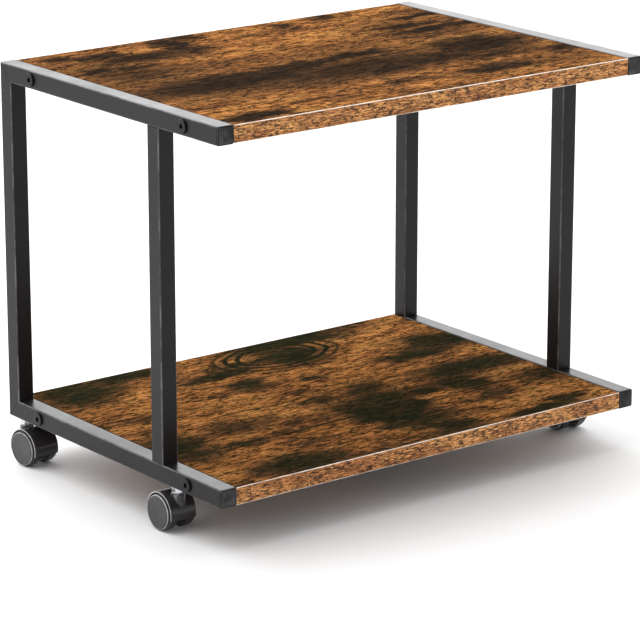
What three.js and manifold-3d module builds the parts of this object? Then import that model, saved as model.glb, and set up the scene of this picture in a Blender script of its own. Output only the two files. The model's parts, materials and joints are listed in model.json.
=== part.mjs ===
// Two-tier mobile printer stand. Two welded side frames of square steel tube carry two laminated
// boards, and four hooded twin-wheel castors let the stand roll in any direction.
// Millimetres. +Z is up, +X runs along the boards and the front faces -Y. The origin is on the
// floor, under the middle of the stand.

import * as THREE from "three";
import { mergeVertices } from "three/addons/utils/BufferGeometryUtils.js";
import Module from "manifold-3d";

const wasm = await Module();
wasm.setup();

// Driving dimensions of the stand.
const STAND_WIDTH = 570;
const STAND_DEPTH = 400;
const FRAME_HEIGHT = 400;
const CASTOR_HEIGHT = 50;
const FRONT_POST_SETBACK = 103.5;

// Square tube.
const TUBE = 20;
const TUBE_WALL = 1.2;
const TUBE_CORNER_R = 1.5;
const MITRE_GAP = 0.15;

// Plastic end caps of the rails.
const CAP_FLANGE = 2.5;
const CAP_EDGE_R = 1;
const CAP_PLUG = 17;
const CAP_PLUG_LENGTH = 12;

// Boards and their edge bands.
const BOARD_THICKNESS = 19;
const BAND_THICKNESS = 1;
const BAND_EDGE_R = 0.6;

// M6 flat-head bolts, their holes and the insert nuts that take them.
const BOLT_SPREAD = 140;
const BOLT_R = 3;
const BOLT_LENGTH = 35;
const BOLT_HEAD_R = 7.3;
const BOLT_HEAD_HEIGHT = 2.2;
const BOLT_HEAD_EDGE_R = 0.6;
const BOLT_TIP_CHAMFER = 0.7;
const SOCKET_ACROSS_FLATS = 5;
const SOCKET_DEPTH = 1.9;
const CLEARANCE = 0.3;
const INSERT_R = 4.7;
const INSERT_LENGTH = 13;
const INSERT_BARBS = 2;
const INSERT_BARB_DEPTH = 0.5;
const INSERT_BARB_SLOPE = 0.9;
const BOARD_BORE_DEPTH = 18;

// M8 rivet nuts and castor stems. Heights are above the floor.
const RIVET_NUT_R = 5.5;
const RIVET_NUT_FLANGE_R = 7;
const RIVET_NUT_FLANGE = 1;
const RIVET_NUT_BULGE_R = 6.9;
const RIVET_NUT_BULGE_HEIGHT = 2;
const RIVET_NUT_BULGE_SLOPE = 1;
const RIVET_NUT_LENGTH = 14;
const STEM_R = 3.8;
const STEM_TOP = 63;
const COLLAR_R = 6.6;
const COLLAR_BOTTOM = 42.4;
const HEX_ACROSS_FLATS = 12;
const HEX_BOTTOM = 43.2;
const HEX_TOP = 48.7;
const PIN_R = 3.4;
const PIN_BOTTOM = 28.5;
const PIN_GROOVE_R = 2.8;
const PIN_GROOVE_BOTTOM = 31.5;
const PIN_GROOVE_TOP = 33.5;
const NECK_R = 5.6;

// Castors: the axle trails behind the stem, and each wheel runs beside a central web.
const FRONT_STEM_SETBACK = 90;
const REAR_STEM_SETBACK = 20;
const TRAIL = 12.5;
const WHEEL_R = 20;
const WHEEL_FACE = 18.4;
const WHEEL_BACK = 6;
const AXLE_R = 2;
const AXLE_HALF = 15;
const AXLE_GROOVE_DEPTH = 0.5;
const AXLE_GROOVE_START = 12;
const AXLE_GROOVE_END = 13;
const AXLE_END_GAP = 0.5;
const HUB_R = 4.5;
const RIM_INNER_R = 15.5;
const WHEEL_WEB_THICKNESS = 6;
const TREAD_CHAMFER = 1.2;
const TREAD_END = 15.4;
const DISC_R = 18.8;
const DISC_BACK = 16;
const DISC_EDGE_R = 1.5;
const HOOD_R = 22.3;
const FENDER_THICKNESS = 1.5;
const FENDER_HALF = 16.3;
const WEB_HALF = 5.4;
const FENDER_FAR_END = THREE.MathUtils.degToRad(-18);
const FENDER_STEM_END = THREE.MathUtils.degToRad(196);
const WEB_DIP = 14;
const PILLAR_R = 7.8;
const PILLAR_BOTTOM = 21;
const PILLAR_TOP = 42;
const PILLAR_CHAMFER = 0.8;
const PIN_BORE_BOTTOM = 27.5;

// Facets of a full circle, by size.
const SMALL_CIRCLE = 12;
const HEAD_CIRCLE = 14;
const WHEEL_CIRCLE = 24;
const WHEEL_ROOM_CIRCLE = 36;
const HOOD_ARC_STEPS = 20;
const CORNER_STEPS = 3;
const BEVEL_STEPS = 2;
const DIP_STEPS = 8;
const HEX_SIDES = 6;

// How far a solid runs past the surface that it is joined to or cuts through.
const OVERRUN = 1;

const RAIL_HEIGHTS = {
  bottom: CASTOR_HEIGHT + TUBE / 2,
  top: CASTOR_HEIGHT + FRAME_HEIGHT - TUBE / 2,
};
const SIDES = { left: -1, right: 1 };
const ENDS = { front: -1, rear: 1 };
const RAIL_X = (STAND_WIDTH - TUBE) / 2;
const BOARD_LENGTH = STAND_WIDTH - 2 * TUBE;
const RAIL_FRONT = -STAND_DEPTH / 2 + CAP_FLANGE;
const REAR = STAND_DEPTH / 2;
const AXLE_HEIGHT = WHEEL_R;

const STEM_PLACES = {
  front: -REAR + FRONT_STEM_SETBACK,
  rear: REAR - REAR_STEM_SETBACK,
};

// The way each castor points at rest, in degrees about +Z from "axle behind the stem".
const CASTOR_TURNS = {
  front_left: 0,
  front_right: -5,
  rear_left: 185,
  rear_right: 175,
};

const FINISHES = {
  powder_coat: { color: 0x2a2829, roughness: 0.5, metalness: 0.2 },
  cap_plastic: { color: 0x1d1d1e, roughness: 0.45, metalness: 0 },
  board: { color: 0x9c6536, roughness: 0.5, metalness: 0 },
  edge_band: { color: 0xa77a54, roughness: 0.5, metalness: 0 },
  black_bolt: { color: 0x1f1e1f, roughness: 0.4, metalness: 0.6 },
  zinc: { color: 0xc9ccd0, roughness: 0.3, metalness: 0.95 },
  castor_nylon: { color: 0x151516, roughness: 0.25, metalness: 0 },
  wheel_nylon: { color: 0x2b2b2c, roughness: 0.35, metalness: 0 },
};

// ---- Joining and cutting ----

function toSolid(geometry) {
  geometry.deleteAttribute("normal");
  geometry.deleteAttribute("uv");
  const merged = mergeVertices(geometry);
  const index = merged.index.array;
  const triVerts = [];
  for (let i = 0; i < index.length; i += 3) {
    const [a, b, c] = index.subarray(i, i + 3);
    // A lathe makes flat triangles where its profile meets the axis.
    if (a !== b && b !== c && c !== a) triVerts.push(a, b, c);
  }
  const vertProperties = merged.attributes.position.array;
  return new wasm.Manifold(
    new wasm.Mesh({ numProp: 3, vertProperties, triVerts: Uint32Array.from(triVerts) }),
  );
}

function toGeometry(solid) {
  const { vertProperties, triVerts } = solid.getMesh();
  const geometry = new THREE.BufferGeometry();
  geometry.setAttribute("position", new THREE.BufferAttribute(vertProperties, 3));
  geometry.setIndex(new THREE.BufferAttribute(triVerts, 1));
  geometry.computeVertexNormals();
  return geometry;
}

// A cylinder between two heights along +Z.
function cylinder(radius, bottom, top, facets = SMALL_CIRCLE) {
  const geometry = new THREE.CylinderGeometry(radius, radius, top - bottom, facets);
  return geometry.rotateX(Math.PI / 2).translate(0, 0, (bottom + top) / 2);
}

// A cylinder along X, centred on the given point.
function crossCylinder(radius, length, x, y, z, facets = SMALL_CIRCLE) {
  const geometry = new THREE.CylinderGeometry(radius, radius, length, facets);
  return geometry.rotateZ(-Math.PI / 2).translate(x, y, z);
}

// A hexagonal prism between two heights along +Z.
function hexPrism(acrossFlats, bottom, top) {
  return cylinder(acrossFlats / Math.sqrt(3), bottom, top, HEX_SIDES);
}

// A turned solid about +Z from [radius, height] pairs that start low and run outwards.
function turned(profile, facets) {
  const points = profile.map(([radius, height]) => new THREE.Vector2(radius, height));
  return new THREE.LatheGeometry(points, facets).rotateX(Math.PI / 2);
}

// Points of a quarter round from one angle to another, as [radius, height] pairs.
function quarterRound(centreR, centreZ, radius, fromDegrees, toDegrees) {
  const points = [];
  for (let step = 0; step <= CORNER_STEPS; step += 1) {
    const degrees = THREE.MathUtils.lerp(fromDegrees, toDegrees, step / CORNER_STEPS);
    const angle = THREE.MathUtils.degToRad(degrees);
    points.push([centreR + radius * Math.cos(angle), centreZ + radius * Math.sin(angle)]);
  }
  return points;
}

function roundedSquare(size, cornerR) {
  const inset = size / 2 - cornerR;
  const shape = new THREE.Shape();
  shape.absarc(inset, inset, cornerR, 0, Math.PI / 2);
  shape.absarc(-inset, inset, cornerR, Math.PI / 2, Math.PI);
  shape.absarc(-inset, -inset, cornerR, Math.PI, 1.5 * Math.PI);
  shape.absarc(inset, -inset, cornerR, 1.5 * Math.PI, 2 * Math.PI);
  shape.closePath();
  return shape;
}

function extrude(shape, depth) {
  return new THREE.ExtrudeGeometry(shape, { depth, bevelEnabled: false, curveSegments: CORNER_STEPS });
}

// ---- Side frames ----

// A tube along +Z from zero to its length. Each mitred end is longest on the +Y or -Y face
// that longFace names with its sign.
function squareTube(length, mitres) {
  const hollow = TUBE - 2 * TUBE_WALL;
  const outside = toSolid(extrude(roundedSquare(TUBE, TUBE_CORNER_R), length));
  const inside = new THREE.BoxGeometry(hollow, hollow, 4 * length);
  let tube = outside.subtract(toSolid(inside));
  for (const { end, longFace } of mitres) {
    tube = tube.subtract(mitreCutter(end === "top" ? length : 0, end === "top" ? 1 : -1, longFace));
  }
  return tube;
}

// A block whose one face is the 45 degree plane through the corner of a mitred tube end.
function mitreCutter(endHeight, outward, longFace) {
  const block = 3 * TUBE;
  const reach = block / 2 - MITRE_GAP;
  const cutter = new THREE.BoxGeometry(block, block, block);
  cutter.rotateX((outward * longFace * Math.PI) / 4);
  const slant = reach * Math.SQRT1_2;
  cutter.translate(0, -longFace * slant, endHeight - outward * (TUBE / 2 - slant));
  return toSolid(cutter);
}

// A rail runs back from its end cap. Its geometry is along +Z and is laid down towards +Y,
// which turns the section's +Y face down.
function railGeometry(level) {
  const length = REAR - RAIL_FRONT;
  const longFace = level === "bottom" ? 1 : -1;
  let rail = squareTube(length, [{ end: "top", longFace }]);
  for (const end of Object.values(ENDS)) {
    const hole = crossCylinder(BOLT_R + CLEARANCE, 2 * TUBE, 0, 0, end * BOLT_SPREAD - RAIL_FRONT);
    rail = rail.subtract(toSolid(hole));
  }
  if (level === "bottom") {
    for (const y of Object.values(STEM_PLACES)) {
      const hole = cylinder(RIVET_NUT_R + CLEARANCE, 0, TUBE);
      hole.rotateX(-Math.PI / 2).translate(0, 0, y - RAIL_FRONT);
      rail = rail.subtract(toSolid(hole));
    }
  }
  return toGeometry(rail).rotateX(-Math.PI / 2);
}

function rearPostGeometry() {
  const mitres = [
    { end: "bottom", longFace: 1 },
    { end: "top", longFace: 1 },
  ];
  return toGeometry(squareTube(FRAME_HEIGHT, mitres));
}

function frontPostGeometry() {
  return toGeometry(squareTube(FRAME_HEIGHT - 2 * TUBE, []));
}

// A cap has a flange as large as the tube, rounded at the front, and a plug inside the tube.
function endCapGeometry() {
  const flangeSection = roundedSquare(TUBE - 2 * CAP_EDGE_R, TUBE_CORNER_R - CAP_EDGE_R);
  const flange = new THREE.ExtrudeGeometry(flangeSection, {
    depth: TUBE,
    bevelSize: CAP_EDGE_R,
    bevelThickness: CAP_EDGE_R,
    bevelSegments: BEVEL_STEPS,
    curveSegments: BEVEL_STEPS,
  });
  flange.translate(0, 0, CAP_EDGE_R);
  const behind = new THREE.BoxGeometry(2 * TUBE, 2 * TUBE, 2 * TUBE);
  behind.translate(0, 0, CAP_FLANGE + TUBE);
  const plug = new THREE.BoxGeometry(CAP_PLUG, CAP_PLUG, CAP_PLUG_LENGTH + OVERRUN);
  plug.translate(0, 0, CAP_FLANGE + (CAP_PLUG_LENGTH - OVERRUN) / 2);
  const cap = toSolid(flange).subtract(toSolid(behind)).add(toSolid(plug));
  return toGeometry(cap).rotateX(-Math.PI / 2);
}

// ---- Boards ----

function boardGeometry() {
  const depth = STAND_DEPTH - 2 * BAND_THICKNESS;
  let board = toSolid(new THREE.BoxGeometry(BOARD_LENGTH, depth, BOARD_THICKNESS));
  for (const side of Object.values(SIDES)) {
    for (const end of Object.values(ENDS)) {
      const x = side * (BOARD_LENGTH / 2);
      const bore = crossCylinder(INSERT_R + CLEARANCE, 2 * BOARD_BORE_DEPTH, x, end * BOLT_SPREAD, 0);
      board = board.subtract(toSolid(bore));
    }
  }
  return toGeometry(board);
}

// A strip as long and as thick as the board, with its two outer edges rounded. Its back is at
// y = 0 and it faces -Y.
function edgeBandGeometry() {
  const inset = BOARD_THICKNESS / 2 - BAND_EDGE_R;
  const outer = -BAND_THICKNESS + BAND_EDGE_R;
  const section = new THREE.Shape();
  section.moveTo(0, BOARD_THICKNESS / 2);
  section.absarc(outer, inset, BAND_EDGE_R, Math.PI / 2, Math.PI);
  section.absarc(outer, -inset, BAND_EDGE_R, Math.PI, 1.5 * Math.PI);
  section.lineTo(0, -BOARD_THICKNESS / 2);
  section.closePath();
  const band = extrude(section, BOARD_LENGTH);
  return acrossX(band).translate(-BOARD_LENGTH / 2, 0, 0);
}

// Turns a shape drawn in (x, y) and extruded along z so that it lies in (y, z) and runs along x.
function acrossX(geometry) {
  const turn = new THREE.Matrix4().makeBasis(
    new THREE.Vector3(0, 1, 0),
    new THREE.Vector3(0, 0, 1),
    new THREE.Vector3(1, 0, 0),
  );
  return geometry.applyMatrix4(turn);
}

// ---- Fasteners ----

// The head is above z = 0 and the shank hangs below it.
function boltGeometry() {
  const rim = BOLT_HEAD_R - BOLT_HEAD_EDGE_R;
  const crown = BOLT_HEAD_HEIGHT - BOLT_HEAD_EDGE_R;
  const profile = [
    [0, -BOLT_LENGTH],
    [BOLT_R - BOLT_TIP_CHAMFER, -BOLT_LENGTH],
    [BOLT_R, BOLT_TIP_CHAMFER - BOLT_LENGTH],
    [BOLT_R, 0],
    [BOLT_HEAD_R, 0],
    ...quarterRound(rim, crown, BOLT_HEAD_EDGE_R, 0, 90),
    [0, BOLT_HEAD_HEIGHT],
  ];
  const socket = hexPrism(SOCKET_ACROSS_FLATS, BOLT_HEAD_HEIGHT - SOCKET_DEPTH, 2 * BOLT_HEAD_HEIGHT);
  return toGeometry(toSolid(turned(profile, HEAD_CIRCLE)).subtract(toSolid(socket)));
}

// A barbed sleeve below z = 0, pressed into the board's end.
function insertNutGeometry() {
  const bore = BOLT_R + CLEARANCE;
  const pitch = INSERT_LENGTH / INSERT_BARBS;
  const profile = [[bore, -INSERT_LENGTH]];
  for (let barb = 0; barb < INSERT_BARBS; barb += 1) {
    const foot = -INSERT_LENGTH + barb * pitch;
    profile.push([INSERT_R - INSERT_BARB_DEPTH, foot]);
    profile.push([INSERT_R, foot + pitch * INSERT_BARB_SLOPE]);
  }
  profile.push([INSERT_R - INSERT_BARB_DEPTH, 0]);
  profile.push([bore, 0]);
  profile.push([bore, -INSERT_LENGTH]);
  return toGeometry(toSolid(turned(profile, SMALL_CIRCLE)));
}

// A flanged threaded sleeve, with its bulge gripping the inside of the tube wall. Its flange
// meets the rail's underside at z = 0.
function rivetNutGeometry() {
  const bore = STEM_R + CLEARANCE;
  const grip = TUBE_WALL + CLEARANCE;
  const profile = [
    [bore, -RIVET_NUT_FLANGE],
    [RIVET_NUT_FLANGE_R, -RIVET_NUT_FLANGE],
    [RIVET_NUT_FLANGE_R, 0],
    [RIVET_NUT_R, 0],
    [RIVET_NUT_R, grip],
    [RIVET_NUT_BULGE_R, grip],
    [RIVET_NUT_BULGE_R, grip + RIVET_NUT_BULGE_HEIGHT],
    [RIVET_NUT_R, grip + RIVET_NUT_BULGE_HEIGHT + RIVET_NUT_BULGE_SLOPE],
    [RIVET_NUT_R, RIVET_NUT_LENGTH],
    [bore, RIVET_NUT_LENGTH],
    [bore, -RIVET_NUT_FLANGE],
  ];
  return toGeometry(toSolid(turned(profile, SMALL_CIRCLE)));
}

// ---- Castors, each about its stem's axis with z = 0 on the floor ----

function stemGeometry() {
  const profile = [
    [0, PIN_BOTTOM],
    [PIN_R, PIN_BOTTOM],
    [PIN_R, PIN_GROOVE_BOTTOM],
    [PIN_GROOVE_R, PIN_GROOVE_BOTTOM],
    [PIN_GROOVE_R, PIN_GROOVE_TOP],
    [PIN_R, PIN_GROOVE_TOP],
    [PIN_R, COLLAR_BOTTOM],
    [COLLAR_R, COLLAR_BOTTOM],
    [COLLAR_R, HEX_BOTTOM],
    [NECK_R, HEX_BOTTOM],
    [NECK_R, CASTOR_HEIGHT - RIVET_NUT_FLANGE],
    [STEM_R, CASTOR_HEIGHT - RIVET_NUT_FLANGE],
    [STEM_R, STEM_TOP],
    [0, STEM_TOP],
  ];
  const stem = toSolid(turned(profile, SMALL_CIRCLE));
  return toGeometry(stem.add(toSolid(hexPrism(HEX_ACROSS_FLATS, HEX_BOTTOM, HEX_TOP))));
}

// The drum's side outline: an arc over the wheels, closed below the axle by the web's dip.
function drumOutline() {
  const outline = new THREE.Shape();
  const far = new THREE.Vector2(HOOD_R, 0).rotateAround(new THREE.Vector2(), FENDER_FAR_END);
  outline.moveTo(far.x, far.y);
  for (let step = 1; step <= HOOD_ARC_STEPS; step += 1) {
    const angle = THREE.MathUtils.lerp(FENDER_FAR_END, FENDER_STEM_END, step / HOOD_ARC_STEPS);
    outline.lineTo(HOOD_R * Math.cos(angle), HOOD_R * Math.sin(angle));
  }
  outline.quadraticCurveTo(0, -WEB_DIP, far.x, far.y);
  return outline;
}

// One moulding: a central web, a fender over each wheel, and a pillar that holds the stem's pin.
function hoodGeometry() {
  const drum = new THREE.ExtrudeGeometry(drumOutline(), {
    depth: 2 * FENDER_HALF,
    bevelEnabled: false,
    curveSegments: DIP_STEPS,
  });
  acrossX(drum).translate(-FENDER_HALF, TRAIL, AXLE_HEIGHT);
  const pillar = turned(
    [
      [0, PILLAR_BOTTOM],
      [PILLAR_R, PILLAR_BOTTOM],
      [PILLAR_R, PILLAR_TOP - PILLAR_CHAMFER],
      [PILLAR_R - PILLAR_CHAMFER, PILLAR_TOP],
      [0, PILLAR_TOP],
    ],
    WHEEL_CIRCLE,
  );
  let hood = toSolid(drum).add(toSolid(pillar));
  for (const side of Object.values(SIDES)) {
    const width = 2 * TUBE;
    const x = side * (WEB_HALF + width / 2);
    const wheelRoom = crossCylinder(
      HOOD_R - FENDER_THICKNESS, width, x, TRAIL, AXLE_HEIGHT, WHEEL_ROOM_CIRCLE,
    );
    hood = hood.subtract(toSolid(wheelRoom));
  }
  const axleBore = crossCylinder(AXLE_R + CLEARANCE, 4 * WEB_HALF, 0, TRAIL, AXLE_HEIGHT);
  const pinBore = cylinder(PIN_R + CLEARANCE, PIN_BORE_BOTTOM, PILLAR_TOP + OVERRUN);
  return toGeometry(hood.subtract(toSolid(axleBore)).subtract(toSolid(pinBore)));
}

// A pin along X through the web and both wheels, with a snap groove near each end.
function axleGeometry() {
  const half = [
    [AXLE_R, AXLE_GROOVE_START],
    [AXLE_R - AXLE_GROOVE_DEPTH, AXLE_GROOVE_START],
    [AXLE_R - AXLE_GROOVE_DEPTH, AXLE_GROOVE_END],
    [AXLE_R, AXLE_GROOVE_END],
    [AXLE_R, AXLE_HALF],
    [0, AXLE_HALF],
  ];
  const otherHalf = half.map(([radius, height]) => [radius, -height]).reverse();
  return toGeometry(toSolid(turned([...otherHalf, ...half], SMALL_CIRCLE))).rotateY(Math.PI / 2);
}

// A wheel with a rounded tread, a raised face disc that hides the axle's end, and a hollow back
// round its hub. It is turned about +Z with its face up.
function wheelGeometry() {
  const bore = AXLE_R + CLEARANCE;
  const boreEnd = AXLE_HALF + AXLE_END_GAP;
  const recessFloor = WHEEL_FACE - WHEEL_WEB_THICKNESS;
  const profile = [
    [bore, WHEEL_BACK],
    [HUB_R, WHEEL_BACK],
    [HUB_R, recessFloor],
    [RIM_INNER_R, recessFloor],
    [RIM_INNER_R, WHEEL_BACK],
    [WHEEL_R - TREAD_CHAMFER, WHEEL_BACK],
    [WHEEL_R, WHEEL_BACK + TREAD_CHAMFER],
    [WHEEL_R, TREAD_END],
    [DISC_R, DISC_BACK],
    ...quarterRound(DISC_R - DISC_EDGE_R, WHEEL_FACE - DISC_EDGE_R, DISC_EDGE_R, 0, 90),
    [0, WHEEL_FACE],
    [0, boreEnd],
    [bore, boreEnd],
    [bore, WHEEL_BACK],
  ];
  return toGeometry(toSolid(turned(profile, WHEEL_CIRCLE)));
}

// ---- Assembly ----

const stand = new THREE.Group();

function place(parent, name, geometry, finish, x = 0, y = 0, z = 0) {
  const mesh = new THREE.Mesh(geometry, new THREE.MeshStandardMaterial(FINISHES[finish]));
  mesh.name = name;
  mesh.position.set(x, y, z);
  parent.add(mesh);
  return mesh;
}

function addSideFrame(sideName, side) {
  const x = side * RAIL_X;
  for (const [level, z] of Object.entries(RAIL_HEIGHTS)) {
    place(stand, `${sideName}_${level}_rail`, railGeometry(level), "powder_coat", x, RAIL_FRONT, z);
    place(stand, `${sideName}_${level}_end_cap`, endCapGeometry(), "cap_plastic", x, -REAR, z);
  }
  const frontPostY = -REAR + FRONT_POST_SETBACK + TUBE / 2;
  const frontPostFoot = CASTOR_HEIGHT + TUBE;
  place(stand, `${sideName}_front_post`, frontPostGeometry(), "powder_coat", x, frontPostY, frontPostFoot);
  const rearPostY = REAR - TUBE / 2;
  place(stand, `${sideName}_rear_post`, rearPostGeometry(), "powder_coat", x, rearPostY, CASTOR_HEIGHT);
}

function addShelf(level, z) {
  place(stand, `${level}_shelf`, boardGeometry(), "board", 0, 0, z);
  for (const [endName, end] of Object.entries(ENDS)) {
    const name = `${level}_shelf_${endName}_edge_band`;
    const band = place(stand, name, edgeBandGeometry(), "edge_band", 0, end * (REAR - BAND_THICKNESS), z);
    if (end > 0) band.rotation.z = Math.PI;
  }
}

// One bolt and its insert nut at each corner of a shelf, both pointing into the board's end.
function addShelfBolts(level, z) {
  for (const [sideName, side] of Object.entries(SIDES)) {
    for (const [endName, end] of Object.entries(ENDS)) {
      const corner = `${sideName}_${level}_${endName}`;
      const y = end * BOLT_SPREAD;
      const headSeat = (side * STAND_WIDTH) / 2;
      const boardEnd = (side * BOARD_LENGTH) / 2;
      const bolt = place(stand, `${corner}_bolt`, boltGeometry(), "black_bolt", headSeat, y, z);
      bolt.rotation.y = (side * Math.PI) / 2;
      const nut = place(stand, `${corner}_insert_nut`, insertNutGeometry(), "zinc", boardEnd, y, z);
      nut.rotation.y = (side * Math.PI) / 2;
    }
  }
}

function addCastor(name, x, y, turnDegrees) {
  place(stand, `${name}_rivet_nut`, rivetNutGeometry(), "zinc", x, y, CASTOR_HEIGHT);
  place(stand, `${name}_castor_stem`, stemGeometry(), "zinc", x, y, 0);
  const castor = new THREE.Group();
  castor.position.set(x, y, 0);
  castor.rotation.z = THREE.MathUtils.degToRad(turnDegrees);
  stand.add(castor);
  place(castor, `${name}_castor_hood`, hoodGeometry(), "castor_nylon");
  place(castor, `${name}_castor_axle`, axleGeometry(), "zinc", 0, TRAIL, AXLE_HEIGHT);
  const outward = Math.sign(x) * Math.sign(Math.cos(castor.rotation.z));
  for (const [wheelName, side] of [["outer", outward], ["inner", -outward]]) {
    const wheelFull = `${name}_castor_${wheelName}_wheel`;
    const wheel = place(castor, wheelFull, wheelGeometry(), "wheel_nylon", 0, TRAIL, AXLE_HEIGHT);
    wheel.rotation.y = (side * Math.PI) / 2;
  }
}

for (const [sideName, side] of Object.entries(SIDES)) {
  addSideFrame(sideName, side);
}
for (const [level, z] of Object.entries(RAIL_HEIGHTS)) {
  addShelf(level, z);
  addShelfBolts(level, z);
}
for (const [endName, y] of Object.entries(STEM_PLACES)) {
  for (const [sideName, side] of Object.entries(SIDES)) {
    const name = `${endName}_${sideName}`;
    addCastor(name, side * RAIL_X, y, CASTOR_TURNS[name]);
  }
}

export default stand;
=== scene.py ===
"""Fine surfaces, finishes and a small studio for a two-tier mobile printer stand.

Two side frames of square tube carry two weathered-wood boards, and four hooded twin-wheel castors
carry the frames. Lengths are metres, +Z is up and the front faces -Y.
"""

import json
import math
from collections import namedtuple

import bmesh
import bpy
import numpy as np
from bpy.props import FloatProperty, FloatVectorProperty, PointerProperty
from mathutils import Matrix, Vector


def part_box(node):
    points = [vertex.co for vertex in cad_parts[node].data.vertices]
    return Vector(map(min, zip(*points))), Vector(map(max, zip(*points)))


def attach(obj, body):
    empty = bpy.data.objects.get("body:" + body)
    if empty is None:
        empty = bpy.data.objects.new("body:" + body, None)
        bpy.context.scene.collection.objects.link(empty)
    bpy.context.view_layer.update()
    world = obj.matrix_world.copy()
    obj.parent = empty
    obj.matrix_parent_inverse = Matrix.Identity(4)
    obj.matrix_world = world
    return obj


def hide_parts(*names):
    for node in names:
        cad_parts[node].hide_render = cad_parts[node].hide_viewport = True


bl_info = {
    "name": "Mobile Printer Stand",
    "version": (1, 0, 0),
    "blender": (4, 5, 0),
    "location": "View3D > Sidebar > Stand",
    "description": "Makes the fine surfaces, finishes and studio of a two-tier mobile printer stand",
    "category": "Object",
}

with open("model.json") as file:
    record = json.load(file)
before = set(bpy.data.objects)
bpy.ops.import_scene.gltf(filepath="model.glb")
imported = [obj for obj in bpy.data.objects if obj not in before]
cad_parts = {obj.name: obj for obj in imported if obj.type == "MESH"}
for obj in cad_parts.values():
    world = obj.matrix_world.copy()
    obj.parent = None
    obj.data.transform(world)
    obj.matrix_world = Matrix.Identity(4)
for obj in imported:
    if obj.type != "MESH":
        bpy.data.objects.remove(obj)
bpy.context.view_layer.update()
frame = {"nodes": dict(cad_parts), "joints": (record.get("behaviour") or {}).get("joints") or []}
JOINTS = {joint["name"]: joint for joint in frame["joints"]}

MM = 0.001
SIDES = ("left", "right")
LEVELS = ("bottom", "top")
ENDS = ("front", "rear")
CASTORS = [f"{end}_{side}" for end in ENDS for side in SIDES]

# Steps of a rounded corner, and of a whole turn on small and large turned pieces.
ARC_STEPS = 8
SMALL_TURN = 72
LARGE_TURN = 144
MERGE_DISTANCE = 0.001 * MM
SHARP_ANGLE = math.radians(32)
# What nearly all of a noise's values lie between.
NOISE_LOW, NOISE_HIGH = 0.3, 0.7

# Where the dark stains lie on each board: x, y, half length and half width in millimetres from the
# board's middle, and how strong the stain is.
TOP_STAINS = [
    (-50, -45, 250, 52, 0.44), (-215, 60, 66, 90, 0.36), (205, 72, 70, 60, 0.34),
    (20, 30, 170, 30, 0.26), (-60, -92, 110, 20, 0.30), (190, -150, 90, 26, 0.26),
    (-140, -35, 125, 34, 0.80), (0, -62, 150, 42, 0.62), (190, -42, 52, 34, 0.95),
    (25, -88, 45, 18, 0.82), (95, -70, 62, 24, 0.72), (-38, -12, 48, 16, 0.95),
    (42, -4, 40, 10, 0.90), (-148, 128, 46, 17, 0.80), (-186, 155, 30, 12, 0.78),
    (-225, 170, 20, 10, 0.82), (-84, 152, 17, 42, 0.88), (-50, 186, 16, 14, 0.72),
    (-236, 92, 28, 12, 0.86), (-184, 84, 22, 10, 0.82), (72, 174, 12, 22, 0.62),
    (142, 190, 16, 14, 0.74), (240, 128, 38, 9, 0.82), (188, 88, 44, 9, 0.82),
    (216, 58, 58, 10, 0.98), (-224, -182, 38, 13, 0.98), (120, -150, 48, 15, 0.76),
    (5, -142, 22, 8, 0.66), (246, -108, 28, 13, 0.72), (-200, 50, 62, 30, 0.50),
    (165, -92, 64, 20, 0.60),
]
BOTTOM_STAINS = [
    (-220, 165, 38, 36, 0.98), (-140, 186, 46, 16, 0.85), (-55, 124, 42, 10, 0.98),
    (-8, 146, 30, 11, 0.70), (60, 135, 36, 25, 0.96), (100, 186, 76, 20, 0.86),
    (-46, 74, 28, 16, 0.74), (32, 55, 15, 6, 0.66), (178, 54, 42, 13, 0.90),
    (242, 80, 46, 25, 0.92), (205, -20, 66, 20, 0.98), (150, -62, 30, 27, 0.86),
    (250, -92, 32, 20, 0.64), (-2, -84, 28, 38, 0.86), (40, -78, 30, 50, 0.88),
    (24, -126, 36, 26, 0.92), (42, -172, 30, 28, 0.76), (90, -60, 26, 12, 0.80),
    (-236, -62, 30, 40, 0.82), (-170, -90, 24, 8, 0.72), (-165, -176, 46, 24, 0.86),
    (160, -192, 36, 10, 0.84), (202, -176, 22, 10, 0.72), (155, -120, 26, 14, 0.60),
    (-150, -42, 42, 20, 0.46), (-20, -20, 22, 12, 0.62), (46, -16, 30, 18, 0.64),
]
# The knot in the lower board: its middle, and how far its rings reach.
BOTTOM_KNOT = (48, 150, 96, 56)
# How far back from the board's middle its long printed seams lie, in millimetres.
TOP_SEAMS = (-24, 69)
BOTTOM_SEAMS = (-89, 1)


# ---- Settings that a user would change ----

def length(name, description, millimetres):
    return FloatProperty(
        name=name, description=description, default=millimetres * MM, min=0.0, precision=5,
        subtype="DISTANCE", unit="LENGTH",
    )


def degrees(name, description, angle):
    return FloatProperty(
        name=name, description=description, default=math.radians(angle),
        subtype="ANGLE", unit="ROTATION",
    )


def colour(name, description, red, green, blue):
    """A colour given as it looks on a screen, from 0 to 255, and kept as linear light."""
    screen = np.array([red, green, blue]) / 255
    linear = np.where(screen <= 0.04045, screen / 12.92, ((screen + 0.055) / 1.055) ** 2.4)
    return FloatVectorProperty(
        name=name, description=description, default=linear.tolist(), min=0.0, max=1.0,
        subtype="COLOR", size=3,
    )


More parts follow.
